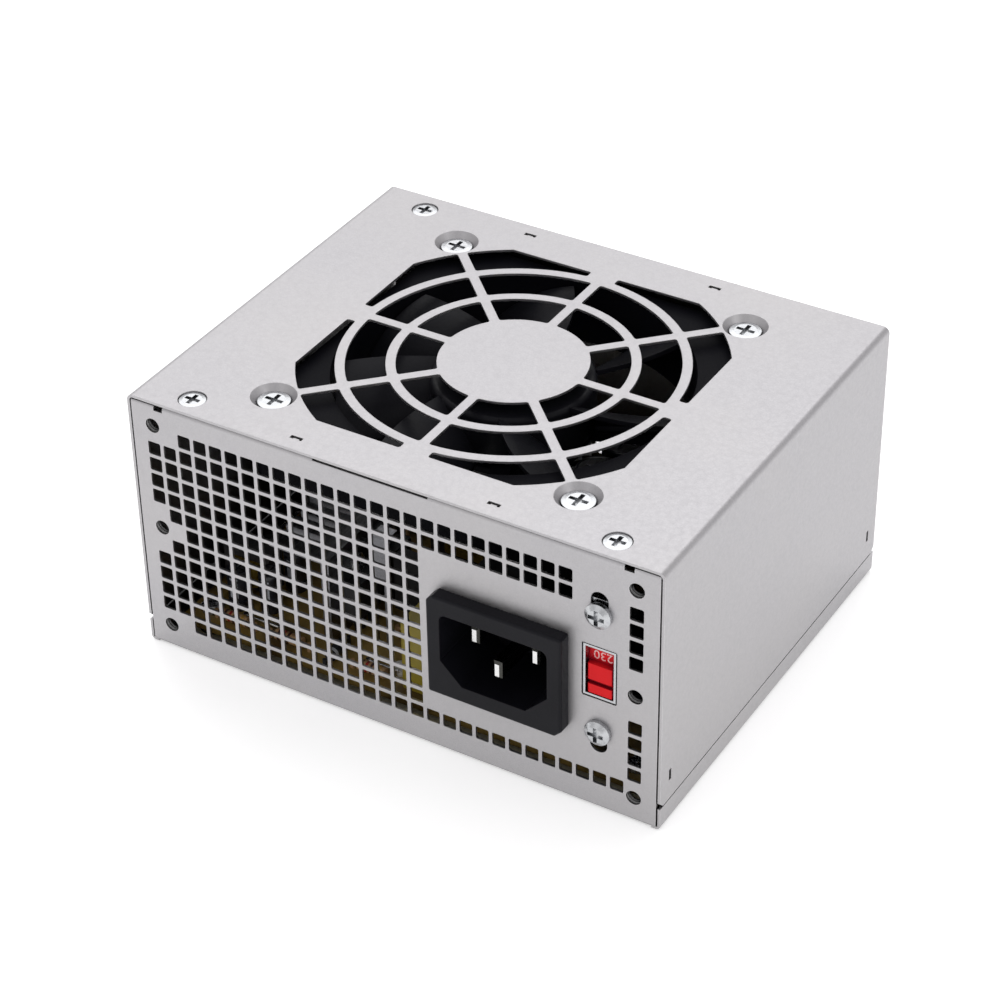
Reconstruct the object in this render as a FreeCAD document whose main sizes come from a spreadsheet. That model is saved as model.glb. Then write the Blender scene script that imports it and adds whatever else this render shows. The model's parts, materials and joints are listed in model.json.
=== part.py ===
import FreeCAD, Part
import math
import operator
import os
from types import SimpleNamespace

import Sketcher

# Small form-factor power supply unit with an 80 mm top fan.
# Frame: millimetres, +Z up, origin at the centre of the underside, front panel at -Y,
# mains inlet on the right of the front panel. Every size comes from the Dimensions sheet.

os.makedirs("parts", exist_ok=True)
DOC = FreeCAD.newDocument("PowerSupplyUnit")

DIMENSIONS = {
    # sheet-metal case
    "caseWidth": 125, "caseDepth": 100, "caseHeight": 63.5, "sheetGauge": 0.6,
    "coverBend": 1.5, "trayBend": 0.95, "lipHeight": 5.3, "seamGap": 0.35,
    "flangeDepth": 8.5, "flangeReach": 53.7, "flangeGap": 0.1,
    "reliefWidth": 2.2, "reliefDepth": 1.1, "cornerTrim": 1.2,
    # fan grille stamped in the cover
    "grilleHub": 16, "innerRing": 24.5, "outerRing": 35.05, "ringWidth": 2.1, "spokeWidth": 2.1,
    "grilleSquare": 39, "grilleCircle": 45.3, "sideBridge": 6.6, "grilleCorner": 0.6,
    # screws in the cover
    "fanHoleSpacing": 71.5, "dimpleRadius": 4.9, "dimpleFloor": 3.7, "dimpleDepth": 1.5,
    "dimpleSeat": 1.3, "fanScrewHead": 3.45, "fanScrewSink": 1.0,
    "coverScrewX": 49.5, "coverScrewY": 45, "coverScrewHead": 2.85,
    "lanceX": 23, "lanceY": 46.3, "lanceLong": 2.8, "lanceWide": 1.0,
    "slitY": 46, "slitHeight": 11.8, "tongueWide": 1.4,
    "openSeamLeft": -17, "openSeamRight": 10, "openSeamTall": 0.55,
    # square-hole grid of the front panel
    "gridPitchX": 3.9, "gridPitchZ": 4.0, "gridHoleX": 3.1, "gridHoleZ": 3.2, "gridCorner": 0.4,
    "gridCentre": 31.75,
    # threaded mounting holes, 113 x 51.5 mm
    "mountX": 56.5, "mountLow": 6.0, "mountMiddle": 31.75, "mountHigh": 57.5,
    "mountRadius": 1.7, "collarRadius": 2.25, "collarDepth": 1.8,
    # mains inlet
    "inletX": 26.1, "inletZ": 29.3, "inletWide": 31.0, "inletTall": 24.6, "inletFlange": 3.0,
    "inletBodyWide": 27.2, "inletBodyTall": 20.2, "inletReach": 16.5, "cavityWide": 24.7,
    "cavityTall": 16.6, "cavityDepth": 16.5, "cavityChamfer": 5.0, "cavityRound": 1.6,
    "inletCorner": 1.6, "inletSoftness": 0.6,
    "pinWide": 2.0, "pinTall": 4.0, "pinSpacing": 14.0, "pinRise": 1.9, "earthDrop": 2.1, "pinTaper": 0.5,
    "pinInset": 1.6, "earthReach": 1.4,
    # voltage selector
    "selectorX": 48.5, "selectorZ": 34.35, "windowWide": 7.9, "windowTall": 13.1, "windowGap": 0.3,
    "rimThick": 0.5, "rimInset": 0.1, "sliderSide": 0.4, "sliderPlay": 0.15, "sliderTall": 7.2,
    "sliderPlateAbove": 4.75, "sliderPlateBelow": 4.8, "sliderPlateSide": 3.6, "sliderFront": 0.25,
    "bracketThick": 1.0, "housingDeep": 10, "housingTall": 23.8,
    "selectorScrewRise": 14.5, "selectorScrewHead": 2.85, "selectorSlot": 3.9,
    # fan
    "fanSize": 80, "fanHeight": 15, "fanTop": 61.0, "fanBore": 38.2, "hubRadius": 17.5,
    "bladeTip": 37.3, "shaftRadius": 1.5, "bearingGap": 0.03,
    # circuit board and what stands on it
    "boardBottom": 4.0, "boardThick": 1.6, "boardHalfX": 57, "boardFront": 46, "boardBack": 45,
    "standoffX": 52.5, "standoffY": 40.5,
    # small wired parts
    "wireRadius": 0.35, "wireFoot": 0.5, "wireLift": 0.3, "resistorRadius": 1.25, "resistorLong": 6.5,
    "resistorSpan": 10, "diodeRadius": 1.4, "diodeLong": 5, "diodeSpan": 9, "leadRadius": 0.9,
    # cable outlet in the rear wall
    "outletX": -38, "outletZ": 24, "outletRadius": 9.0,
    "ventPitch": 5.5, "ventWide": 2.6, "ventTall": 9, "ventHeight": 13, "ventStart": -12,
}


class Size:
    """A number together with the spreadsheet expression that gives it."""

    def __init__(self, value, text):
        self.value = float(value)
        self.text = text

    def __add__(self, other):
        return combine(self, "+", other)

    def __radd__(self, other):
        return combine(other, "+", self)

    def __sub__(self, other):
        return combine(self, "-", other)

    def __rsub__(self, other):
        return combine(other, "-", self)

    def __mul__(self, other):
        return combine(self, "*", other)

    def __rmul__(self, other):
        return combine(other, "*", self)

    def __truediv__(self, other):
        return combine(self, "/", other)

    def __neg__(self):
        return combine(0, "-", self)


OPERATIONS = {"+": operator.add, "-": operator.sub, "*": operator.mul, "/": operator.truediv}


def as_size(number):
    """Give a plain number the form of a Size."""
    return number if isinstance(number, Size) else Size(number, f"({float(number):.4f})")


def combine(left, sign, right):
    """Do one step of arithmetic on the values and on the expressions alike."""
    left, right = as_size(left), as_size(right)
    value = OPERATIONS[sign](left.value, right.value)
    return Size(value, f"({left.text} {sign} {right.text})")


def fill_sheet():
    """Write the driving dimensions into a spreadsheet and return them as named sizes."""
    sheet = DOC.addObject("Spreadsheet::Sheet", "Dimensions")
    sizes = SimpleNamespace()
    for row, (alias, value) in enumerate(DIMENSIONS.items(), start=1):
        sheet.set(f"A{row}", alias)
        sheet.set(f"B{row}", str(value))
        sheet.setAlias(f"B{row}", alias)
        setattr(sizes, alias, Size(value, f"Dimensions.{alias}"))
    DOC.recompute()
    return sizes


D = fill_sheet()
NODES = []

HALF_WIDTH = D.caseWidth / 2
HALF_DEPTH = D.caseDepth / 2
INNER_TOP = D.caseHeight - D.sheetGauge
PANEL_REACH = HALF_WIDTH - D.sheetGauge - D.seamGap
BOARD_TOP = D.boardBottom + D.boardThick
X_AXIS = FreeCAD.Vector(1, 0, 0)
Y_AXIS = FreeCAD.Vector(0, 1, 0)
Z_AXIS = FreeCAD.Vector(0, 0, 1)
AXIS_TURN = {
    "X": FreeCAD.Rotation(Y_AXIS, 90),
    "Y": FreeCAD.Rotation(X_AXIS, -90),
    "Z": FreeCAD.Rotation(),
}


# ---------------------------------------------------------------- document helpers

def bind(item, prop, size):
    """Drive one property of an object from the spreadsheet."""
    item.setExpression(prop, as_size(size).text)


def put_at(item, x, y, z, axis="Z"):
    """Place a primitive with its own axis along X, Y or Z."""
    item.Placement = FreeCAD.Placement(FreeCAD.Vector(), AXIS_TURN[axis])
    for letter, size in zip("xyz", (x, y, z)):
        bind(item, "Placement.Base." + letter, size)


def box(name, x, y, z):
    """Box between a low and a high end on each axis."""
    item = DOC.addObject("Part::Box", name)
    for prop, (low, high) in zip(("Length", "Width", "Height"), (x, y, z)):
        bind(item, prop, high - low)
    put_at(item, x[0], y[0], z[0])
    return item


def turned_box(name, length, width, low, high, angle, start=0, centre=(0, 0)):
    """Box lying along a ray from an upright axis, turned about it by an angle in degrees."""
    item = DOC.addObject("Part::Box", name)
    for prop, size in (("Length", length), ("Width", width), ("Height", high - low)):
        bind(item, prop, size)
    cosine, sine = math.cos(math.radians(angle)), math.sin(math.radians(angle))
    item.Placement = FreeCAD.Placement(FreeCAD.Vector(), FreeCAD.Rotation(Z_AXIS, angle))
    bind(item, "Placement.Base.x", centre[0] + as_size(start) * cosine + as_size(width) * (sine / 2))
    bind(item, "Placement.Base.y", centre[1] + as_size(start) * sine - as_size(width) * (cosine / 2))
    bind(item, "Placement.Base.z", low)
    return item


def across(axis, centre, low):
    """Base point of a round piece whose axis runs along X, Y or Z."""
    first, second = centre
    return {"X": (low, first, second), "Y": (first, low, second), "Z": (first, second, low)}[axis]


def cylinder(name, radius, centre, low, high, axis="Z"):
    """Cylinder between two ends; centre is given on the two other axes."""
    item = DOC.addObject("Part::Cylinder", name)
    bind(item, "Radius", radius)
    bind(item, "Height", high - low)
    put_at(item, *across(axis, centre, low), axis)
    return item


def cone(name, low_radius, high_radius, centre, low, high, axis="Z"):
    """Cone between two ends; centre is given on the two other axes."""
    item = DOC.addObject("Part::Cone", name)
    bind(item, "Radius1", low_radius)
    bind(item, "Radius2", high_radius)
    bind(item, "Height", high - low)
    put_at(item, *across(axis, centre, low), axis)
    return item


def tube(name, outer, inner, centre, low, high, axis="Z"):
    """Ring or sleeve."""
    outside = cylinder(name + "_outside", outer, centre, low, high, axis)
    inside = cylinder(name + "_inside", inner, centre, low - 1, high + 1, axis)
    return cut(name, outside, [inside])


def group(name, items, kind="Part::Compound", prop="Links"):
    """Join or gather several objects; one object alone is passed through."""
    if len(items) == 1:
        return items[0]
    joined = DOC.addObject(kind, name)
    setattr(joined, prop, items)
    return joined


def fuse(name, items):
    """Union of several objects."""
    return group(name, items, "Part::MultiFuse", "Shapes")


def common(name, first, second):
    """Intersection of two objects."""
    item = DOC.addObject("Part::Common", name)
    item.Base = first
    item.Tool = second
    return item


def cut(name, base, tools):
    """Base with the union of the tools removed."""
    item = DOC.addObject("Part::Cut", name)
    item.Base = base
    item.Tool = fuse(name + "_tools", tools)
    return item


def is_along(edge, axis):
    """Whether an edge is straight and runs along a unit vector."""
    if edge.Degenerated or not isinstance(edge.Curve, Part.Line):
        return False
    return abs(edge.tangentAt(edge.FirstParameter).dot(axis)) > 0.999


def round_edges(name, base, radius, axis, wanted=lambda middle: True):
    """Round the straight edges that run along an axis and pass a test on their middle."""
    DOC.recompute()
    item = DOC.addObject("Part::Fillet", name)
    item.Base = base
    size = as_size(radius).value
    chosen = []
    for index, edge in enumerate(base.Shape.Edges, start=1):
        if is_along(edge, axis) and wanted(edge.CenterOfMass):
            chosen.append((index, size, size))
    item.Edges = chosen
    return item


def taper_end(name, base, size, wanted):
    """Chamfer the edges that pass a test on their middle."""
    DOC.recompute()
    item = DOC.addObject("Part::Chamfer", name)
    item.Base = base
    depth = as_size(size).value
    item.Edges = [(index, depth, depth) for index, edge in enumerate(base.Shape.Edges, start=1)
                  if wanted(edge.CenterOfMass)]
    return item


def node(item, label):
    """Mark an object as a finished sub-part of the assembly."""
    item.Label = label
    NODES.append(item)
    return item


# ---------------------------------------------------------------- sketch helpers

def new_body(name):
    """PartDesign body whose label is its node name."""
    return DOC.addObject("PartDesign::Body", name)


def origin_plane(body, role):
    """One of a body's own origin planes or axes."""
    return next(f for f in body.Origin.OriginFeatures if f.Role == role)


def new_sketch(body, name, role, offset=0):
    """Sketch on an origin plane, moved along the plane's normal."""
    sketch = body.newObject("Sketcher::SketchObject", name)
    sketch.AttachmentSupport = [(origin_plane(body, role), "")]
    sketch.MapMode = "FlatFace"
    bind(sketch, "AttachmentOffset.Base.z", offset)
    return sketch


def pin_point(sketch, geometry, point, place):
    """Hold one point of a sketch at a bound distance from the origin."""
    for kind, size in zip(("DistanceX", "DistanceY"), place):
        size = as_size(size)
        index = sketch.addConstraint(Sketcher.Constraint(kind, -1, 1, geometry, point, size.value))
        bind(sketch, f"Constraints[{index}]", size)


def polygon(sketch, points):
    """Closed outline of straight lines through bound points."""
    corners = [FreeCAD.Vector(as_size(a).value, as_size(b).value, 0) for a, b in points]
    lines = []
    for start, end in zip(corners, corners[1:] + corners[:1]):
        lines.append(sketch.addGeometry(Part.LineSegment(start, end)))
    for line, following, place in zip(lines, lines[1:] + lines[:1], points):
        sketch.addConstraint(Sketcher.Constraint("Coincident", line, 2, following, 1))
        pin_point(sketch, line, 1, place)


def circle(sketch, centre, radius):
    """Circle with a bound centre and radius."""
    middle = FreeCAD.Vector(as_size(centre[0]).value, as_size(centre[1]).value, 0)
    size = as_size(radius)
    geometry = sketch.addGeometry(Part.Circle(middle, Z_AXIS, size.value))
    pin_point(sketch, geometry, 3, centre)
    index = sketch.addConstraint(Sketcher.Constraint("Radius", geometry, size.value))
    bind(sketch, f"Constraints[{index}]", size)


def rectangle(sketch, centre, width, height):
    """Rectangle about a bound centre."""
    x, y = centre
    across_x, across_y = as_size(width) / 2, as_size(height) / 2
    polygon(sketch, [(x - across_x, y - across_y), (x + across_x, y - across_y),
                     (x + across_x, y + across_y), (x - across_x, y + across_y)])


def rounded_rectangle(sketch, centre, width, height, radius):
    """Rectangle about a bound centre, with tangent arcs at its corners."""
    arc_x = as_size(width) / 2 - radius
    arc_y = as_size(height) / 2 - radius
    corners = [(centre[0] + arc_x, centre[1] - arc_y), (centre[0] + arc_x, centre[1] + arc_y),
               (centre[0] - arc_x, centre[1] + arc_y), (centre[0] - arc_x, centre[1] - arc_y)]
    size = as_size(radius)
    arcs = []
    for quarter, place in enumerate(corners):
        middle = FreeCAD.Vector(as_size(place[0]).value, as_size(place[1]).value, 0)
        start = (quarter - 1) * math.pi / 2
        round_part = Part.Circle(middle, Z_AXIS, size.value)
        arcs.append(sketch.addGeometry(Part.ArcOfCircle(round_part, start, start + math.pi / 2)))
    for arc, following in zip(arcs, arcs[1:] + arcs[:1]):
        start, end = sketch.getPoint(arc, 2), sketch.getPoint(following, 1)
        side = sketch.addGeometry(Part.LineSegment(start, end))
        sketch.addConstraint(Sketcher.Constraint("Tangent", arc, 2, side, 1))
        sketch.addConstraint(Sketcher.Constraint("Tangent", side, 2, following, 1))
    for arc, place in zip(arcs, corners):
        pin_point(sketch, arc, 3, place)
        index = sketch.addConstraint(Sketcher.Constraint("Radius", arc, size.value))
        bind(sketch, f"Constraints[{index}]", size)


def pad(body, name, sketch, length, midplane=False, reverse=False):
    """Pad a sketch."""
    feature = body.newObject("PartDesign::Pad", name)
    feature.Profile = sketch
    feature.SideType = "Symmetric" if midplane else "One side"
    feature.Reversed = reverse
    bind(feature, "Length", length)
    return feature


def pocket(body, name, sketch, length, midplane=False, reverse=False):
    """Cut a sketch out of the body."""
    feature = body.newObject("PartDesign::Pocket", name)
    feature.Profile = sketch
    feature.SideType = "Symmetric" if midplane else "One side"
    feature.Reversed = reverse
    bind(feature, "Length", length)
    return feature


def bend(body, name, radius, axis, wanted):
    """Round the edges that pass a test on their middle and, where an axis is given, run along it."""
    DOC.recompute()
    base = body.Tip
    edges = []
    for index, edge in enumerate(base.Shape.Edges, start=1):
        if (axis is None or is_along(edge, axis)) and wanted(edge.CenterOfMass):
            edges.append(f"Edge{index}")
    feature = body.newObject("PartDesign::Fillet", name)
    feature.Base = (base, edges)
    bind(feature, "Radius", radius)
    body.Tip = feature
    return feature


def corners_of(half_x, half_y):
    """Four places mirrored about the origin."""
    return [(x * half_x, y * half_y) for x in (-1, 1) for y in (-1, 1)]


def punch_pattern(name, places, width, height, corner, wall_y):
    """Group of equal rounded holes through a front or rear wall, as one cutting tool."""
    deep = 4 * D.sheetGauge.value
    wide, tall = width.value, height.value
    punch = Part.makeBox(wide, deep, tall, FreeCAD.Vector(-wide / 2, wall_y.value - deep / 2, -tall / 2))
    punch = punch.makeFillet(corner.value, [edge for edge in punch.Edges if is_along(edge, Y_AXIS)])
    tool = DOC.addObject("Part::Feature", name)
    tool.Shape = Part.makeCompound([punch.translated(FreeCAD.Vector(x.value, 0, z.value))
                                    for x, z in places])
    return tool


# ---------------------------------------------------------------- cover

def cover_shell():
    """Folded cover: top and both sides, open at the front, rear and bottom."""
    body = new_body("CoverShell")
    foot = D.lipHeight + D.seamGap
    inner = HALF_WIDTH - D.sheetGauge
    profile = new_sketch(body, "CoverProfile", "XZ_Plane")
    polygon(profile, [(-HALF_WIDTH, foot), (-inner, foot), (-inner, INNER_TOP), (inner, INNER_TOP),
                      (inner, foot), (HALF_WIDTH, foot), (HALF_WIDTH, D.caseHeight),
                      (-HALF_WIDTH, D.caseHeight)])
    pad(body, "CoverSheet", profile, D.caseDepth, midplane=True)
    outside = HALF_WIDTH.value - D.sheetGauge.value / 2
    middle = D.caseHeight.value / 2
    bend(body, "CoverInnerBend", D.coverBend - D.sheetGauge, Y_AXIS,
         lambda place: abs(place.x) < outside and place.z > middle)
    bend(body, "CoverOuterBend", D.coverBend, Y_AXIS,
         lambda place: abs(place.x) > outside and place.z > middle)
    side = new_sketch(body, "CoverSideCuts", "YZ_Plane")
    for end in (-1, 1):
        beyond = end * (HALF_DEPTH + 1)
        polygon(side, [(beyond, foot - 1), (beyond, foot + D.cornerTrim + 1),
                       (end * (HALF_DEPTH - D.cornerTrim - 1), foot - 1)])
        rectangle(side, (end * D.slitY, D.slitHeight), D.lanceWide, D.lanceLong)
    pocket(body, "CoverSideTrim", side, D.caseWidth * 2, midplane=True)
    lances = new_sketch(body, "CoverLanceCuts", "XY_Plane", D.caseHeight)
    for place in corners_of(D.lanceX, D.lanceY):
        rectangle(lances, place, D.lanceLong, D.lanceWide)
    pocket(body, "CoverLances", lances, D.sheetGauge * 2)
    return body


def grille_openings():
    """Everything punched out of the cover between the hub, the rings and the spokes."""
    low, high = INNER_TOP - 1, D.caseHeight + 1
    square = box("GrilleSquare", *[(-D.grilleSquare, D.grilleSquare)] * 2, (low, high))
    disc = cylinder("GrilleDisc", D.grilleCircle, (0, 0), low, high)
    metal = [cylinder("GrilleHub", D.grilleHub, (0, 0), low - 1, high + 1)]
    for index, inner in enumerate((D.innerRing, D.outerRing)):
        metal.append(tube(f"GrilleRing{index}", inner + D.ringWidth, inner, (0, 0), low - 1, high + 1))
    for index in range(8):
        metal.append(turned_box(f"GrilleSpoke{index}", D.grilleCircle + 5, D.spokeWidth,
                                low - 1, high + 1, 45 * index))
    for index in range(4):
        metal.append(turned_box(f"GrilleBridge{index}", 10, D.sideBridge, low - 1, high + 1,
                                90 * index, start=D.outerRing + D.ringWidth / 2))
    outline = common("GrilleOutline", square, disc)
    openings = cut("GrilleOpenings", outline, metal)
    return round_edges("GrilleRounded", openings, D.grilleCorner, Z_AXIS)


def fan_screw_places():
    """Centres of the four fan screws."""
    return corners_of(D.fanHoleSpacing / 2, D.fanHoleSpacing / 2)


def cover_screw_places():
    """Two cover screws in front and one at the rear left."""
    rear = D.coverScrewY - 0.5
    return [(-D.coverScrewX, -D.coverScrewY), (D.coverScrewX, -D.coverScrewY), (-D.coverScrewX, rear)]


def make_cover():
    """Cover with its grille, pressed screw dimples, lances and holes."""
    top = D.caseHeight
    dimple_floor = top - D.dimpleDepth
    dimple_foot = dimple_floor - D.dimpleSeat
    pressed, removed = [cover_shell()], [grille_openings()]
    for index, place in enumerate(fan_screw_places()):
        name = f"FanDimple{index}"
        pressed.append(cone(name, D.dimpleRadius - 2.0, D.dimpleRadius + 0.4, place,
                            dimple_foot, INNER_TOP))
        removed.append(fuse(name + "Void", [
            cone(name + "Mouth", D.dimpleFloor, D.dimpleRadius, place, dimple_floor, top),
            cone(name + "Seat", 2.1, D.dimpleFloor, place, dimple_foot, dimple_floor)]))
    for index, place in enumerate(cover_screw_places()):
        name = f"CoverDimple{index}"
        rim = D.coverScrewHead + 0.07
        pressed.append(cone(name, 2.5, rim + 0.6, place, INNER_TOP - 1, INNER_TOP))
        removed.append(fuse(name + "Void", [
            cone(name + "Mouth", rim, rim + 0.12, place, INNER_TOP, top),
            cone(name + "Seat", 1.7, rim, place, INNER_TOP - 1, INNER_TOP)]))
    node(cut("CoverFinished", fuse("CoverPressed", pressed), removed), "cover")


# ---------------------------------------------------------------- base tray

# Holes of the front grid: row from the top, then the first and last column of each run.
GRID_RUNS = [(0, 2, 25), (1, 0, 25), (1, 29, 29), (2, 0, 16), (2, 29, 29), (3, 0, 16), (3, 29, 29),
             (4, 0, 16), (4, 29, 29), (5, 1, 16), (6, 2, 16), (7, 1, 16), (8, 0, 16), (8, 29, 29),
             (9, 0, 16), (9, 29, 29), (10, 0, 16), (10, 29, 29), (11, 0, 16), (11, 29, 29), (12, 2, 28)]
MIDDLE_COLUMN = 14.5
MIDDLE_ROW = 6
VENT_COUNT = 12


def mount_places():
    """Centres of the six threaded holes in the front panel."""
    return [(side * D.mountX, z) for side in (-1, 1) for z in (D.mountLow, D.mountMiddle, D.mountHigh)]


def tray_profile(body):
    """Bottom, front panel and rear wall with their inward flanges, folded from one sheet."""
    gauge, top = D.sheetGauge, INNER_TOP - D.flangeGap
    inner_y, flange_y = HALF_DEPTH - gauge, HALF_DEPTH - D.flangeDepth
    right = [(HALF_DEPTH, 0), (HALF_DEPTH, top), (flange_y, top), (flange_y, top - gauge),
             (inner_y, top - gauge), (inner_y, gauge)]
    left = [(-y, z) for y, z in reversed(right)]
    profile = new_sketch(body, "TrayProfile", "YZ_Plane")
    polygon(profile, right + left)
    pad(body, "TraySheet", profile, PANEL_REACH * 2, midplane=True)
    wall = HALF_DEPTH.value - gauge.value / 2
    for index, (radius, wanted) in enumerate((
            (D.trayBend - gauge, lambda place: wall - 1 < abs(place.y) < wall),
            (D.trayBend, lambda place: abs(place.y) > wall))):
        bend(body, f"TrayBend{index}", radius, X_AXIS, wanted)


def tray_lips(body):
    """Low side lips folded up from the bottom, flush with the cover."""
    inner = HALF_WIDTH - D.sheetGauge
    lips = new_sketch(body, "TrayLipProfile", "XZ_Plane")
    for side in (-1, 1):
        polygon(lips, [(side * (PANEL_REACH - 1), 0), (side * HALF_WIDTH, 0),
                       (side * HALF_WIDTH, D.lipHeight), (side * inner, D.lipHeight),
                       (side * inner, D.sheetGauge), (side * (PANEL_REACH - 1), D.sheetGauge)])
    pad(body, "TrayLips", lips, D.caseDepth - 0.2, midplane=True)
    outside = HALF_WIDTH.value - 0.1
    bend(body, "TrayLipBend", D.trayBend, Y_AXIS,
         lambda place: abs(place.x) > outside and place.z < 0.1)


def tray_front_cuts(body):
    """Flange reliefs, inlet cut-out, selector window and screw slots."""
    top = D.caseHeight
    flange = new_sketch(body, "TrayFlangeCuts", "XZ_Plane")
    for side in (-1, 1):
        inner, relief = side * D.flangeReach, side * (D.flangeReach + D.reliefWidth)
        polygon(flange, [(inner, top), (inner, INNER_TOP - D.reliefDepth - 0.4),
                         (relief, INNER_TOP - D.reliefDepth - 0.4), (relief, top)])
        edge = side * (PANEL_REACH + 1)
        polygon(flange, [(relief, top), (relief, INNER_TOP - 0.45), (edge, INNER_TOP - 0.45), (edge, top)])
    pocket(body, "TrayFlangeEnds", flange, D.caseDepth * 2, midplane=True)
    front = new_sketch(body, "TrayFrontCuts", "XZ_Plane", HALF_DEPTH)
    rounded_rectangle(front, (D.inletX, D.inletZ), D.inletBodyWide + 0.4, D.inletBodyTall + 0.4, 1.5)
    rounded_rectangle(front, (D.selectorX, D.selectorZ), D.windowWide, D.windowTall, 0.4)
    for end in (-1, 1):
        centre_z = D.selectorZ + end * (D.selectorScrewRise + 1.4)
        rounded_rectangle(front, (D.selectorX, centre_z), D.selectorSlot, 7.8, D.selectorSlot / 2 - 0.01)
    pocket(body, "TrayFrontOpenings", front, D.sheetGauge * 2)


def tray_collars(body):
    """Extruded collars behind the threaded holes, then the holes."""
    collars = new_sketch(body, "TrayCollarRings", "XZ_Plane", HALF_DEPTH)
    holes = new_sketch(body, "TrayCollarHoles", "XZ_Plane", HALF_DEPTH)
    for place in mount_places():
        circle(collars, place, D.collarRadius)
        circle(holes, place, D.mountRadius)
    pad(body, "TrayCollars", collars, D.collarDepth, reverse=True)
    pocket(body, "TrayMountHoles", holes, D.collarDepth * 2)


def front_grid():
    """Square holes of the front panel."""
    places = []
    for row, first, last in GRID_RUNS:
        for column in range(first, last + 1):
            places.append(((column - MIDDLE_COLUMN) * D.gridPitchX,
                           D.gridCentre + (MIDDLE_ROW - row) * D.gridPitchZ))
    return punch_pattern("FrontGrid", places, D.gridHoleX, D.gridHoleZ, D.gridCorner, -HALF_DEPTH)


def rear_vents():
    """Row of upright slots low in the rear wall, beside the cable outlet."""
    places = [(column * D.ventPitch + D.ventStart, D.ventHeight) for column in range(VENT_COUNT)]
    corner = D.ventWide * 0.49
    return punch_pattern("RearVents", places, D.ventWide, D.ventTall, corner, HALF_DEPTH)


def lance_cuts():
    """Holes in the flanges under the cover's lances, and the tongue that stands up in each."""
    low = INNER_TOP - D.flangeGap - D.sheetGauge
    wide, tongue = D.lanceLong / 2 + 0.3, D.tongueWide / 2
    holes, tongues = [], []
    for index, (x, y) in enumerate(corners_of(D.lanceX, D.lanceY)):
        near = y - D.lanceWide / 2 + 0.1
        holes.append(box(f"LanceHole{index}", (x - wide, x + wide), (near, near + 1.5), (low - 1, INNER_TOP)))
        tongues.append(box(f"LanceTongue{index}", (x - tongue, x + tongue), (near - 0.05, near + 0.45),
                           (low, D.caseHeight - 0.2)))
    return holes, tongues


def make_base_tray():
    """Folded base tray with every opening and the screw holes of its flanges."""
    body = new_body("TrayBody")
    tray_profile(body)
    tray_lips(body)
    tray_front_cuts(body)
    tray_collars(body)
    holes = [cylinder("OutletHole", D.outletRadius, (D.outletX, D.outletZ), HALF_DEPTH - 2,
                      HALF_DEPTH + 1, "Y")]
    cups = []
    floor = INNER_TOP - D.flangeGap - 1.8
    for index, place in enumerate(cover_screw_places()):
        cups.append(cylinder(f"FlangeCup{index}", 4.4, place, floor, floor + 1.8))
        holes.append(fuse(f"FlangeVoid{index}", [
            cylinder(f"FlangeWell{index}", 3.8, place, floor + 0.7, INNER_TOP + 1),
            cylinder(f"FlangeHole{index}", 1.55, place, floor - 1, INNER_TOP)]))
    seam_foot = INNER_TOP - D.flangeGap - D.openSeamTall
    holes.append(box("OpenSeam", (D.openSeamLeft, D.openSeamRight), (-HALF_DEPTH - 1, -HALF_DEPTH + 1),
                     (seam_foot, INNER_TOP)))
    lance_holes, tongues = lance_cuts()
    tools = group("TrayPunches", holes + lance_holes + [front_grid(), rear_vents()])
    finished = cut("TrayPunched", fuse("TrayWithCups", [body] + cups), [tools])
    node(fuse("TrayFinished", [finished] + tongues), "base_tray")


# ---------------------------------------------------------------- screws

def oriented_box(name, axis, first, second, along):
    """Box given by its spans on the two axes across and on the axis along."""
    spans = {"X": (along, first, second), "Y": (first, along, second), "Z": (first, second, along)}
    return box(name, *spans[axis])


def ordered(start, end):
    """Two positions on an axis, lowest first."""
    return (start, end) if as_size(start).value < as_size(end).value else (end, start)


def cross_recess(name, axis, centre, top, outward, reach):
    """Crossed driver recess in the top of a screw head."""
    along = ordered(top - outward * 0.75, top + outward)
    first, second = centre
    arms = [((first - long, first + long), (second - wide, second + wide))
            for long, wide in ((reach, 0.45), (0.45, reach))]
    return [oriented_box(f"{name}Arm{index}", axis, *arm, along) for index, arm in enumerate(arms)]


def screw(name, axis, centre, seat, outward, radius, shank):
    """Pan-head screw: seat is where the head meets the part, outward the side it stands on."""
    shoulder, top = seat + outward * 0.9, seat + outward * 1.6
    shank_radius, shank_length = shank
    low, high = ordered(shoulder, top)
    radii = (radius, radius * 0.62) if outward > 0 else (radius * 0.62, radius)
    shank_span = ordered(seat - outward * shank_length, seat)
    solid = fuse(name + "Solid", [
        cylinder(name + "Head", radius, centre, *ordered(seat, shoulder), axis),
        cone(name + "Dome", *radii, centre, low, high, axis),
        cylinder(name + "Shank", shank_radius, centre, *shank_span, axis)])
    return cut(name, solid, cross_recess(name, axis, centre, top, outward, radius * 0.62))


def sunk_screw(name, place, top, radius, neck, tip):
    """Countersunk screw standing in the cover, its flat head just below the sheet's top face."""
    rim, shoulder, foot = top - 0.2, top - 0.5, top - 0.5 - (radius - neck) * 0.75
    solid = fuse(name + "Solid", [
        cone(name + "Dome", radius, radius * 0.7, place, rim, top),
        cylinder(name + "Rim", radius, place, shoulder, rim),
        cone(name + "Taper", neck, radius, place, foot, shoulder),
        cylinder(name + "Shank", neck, place, tip, foot)])
    return cut(name, solid, cross_recess(name, "Z", place, top, 1, radius * 0.6))


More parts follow.
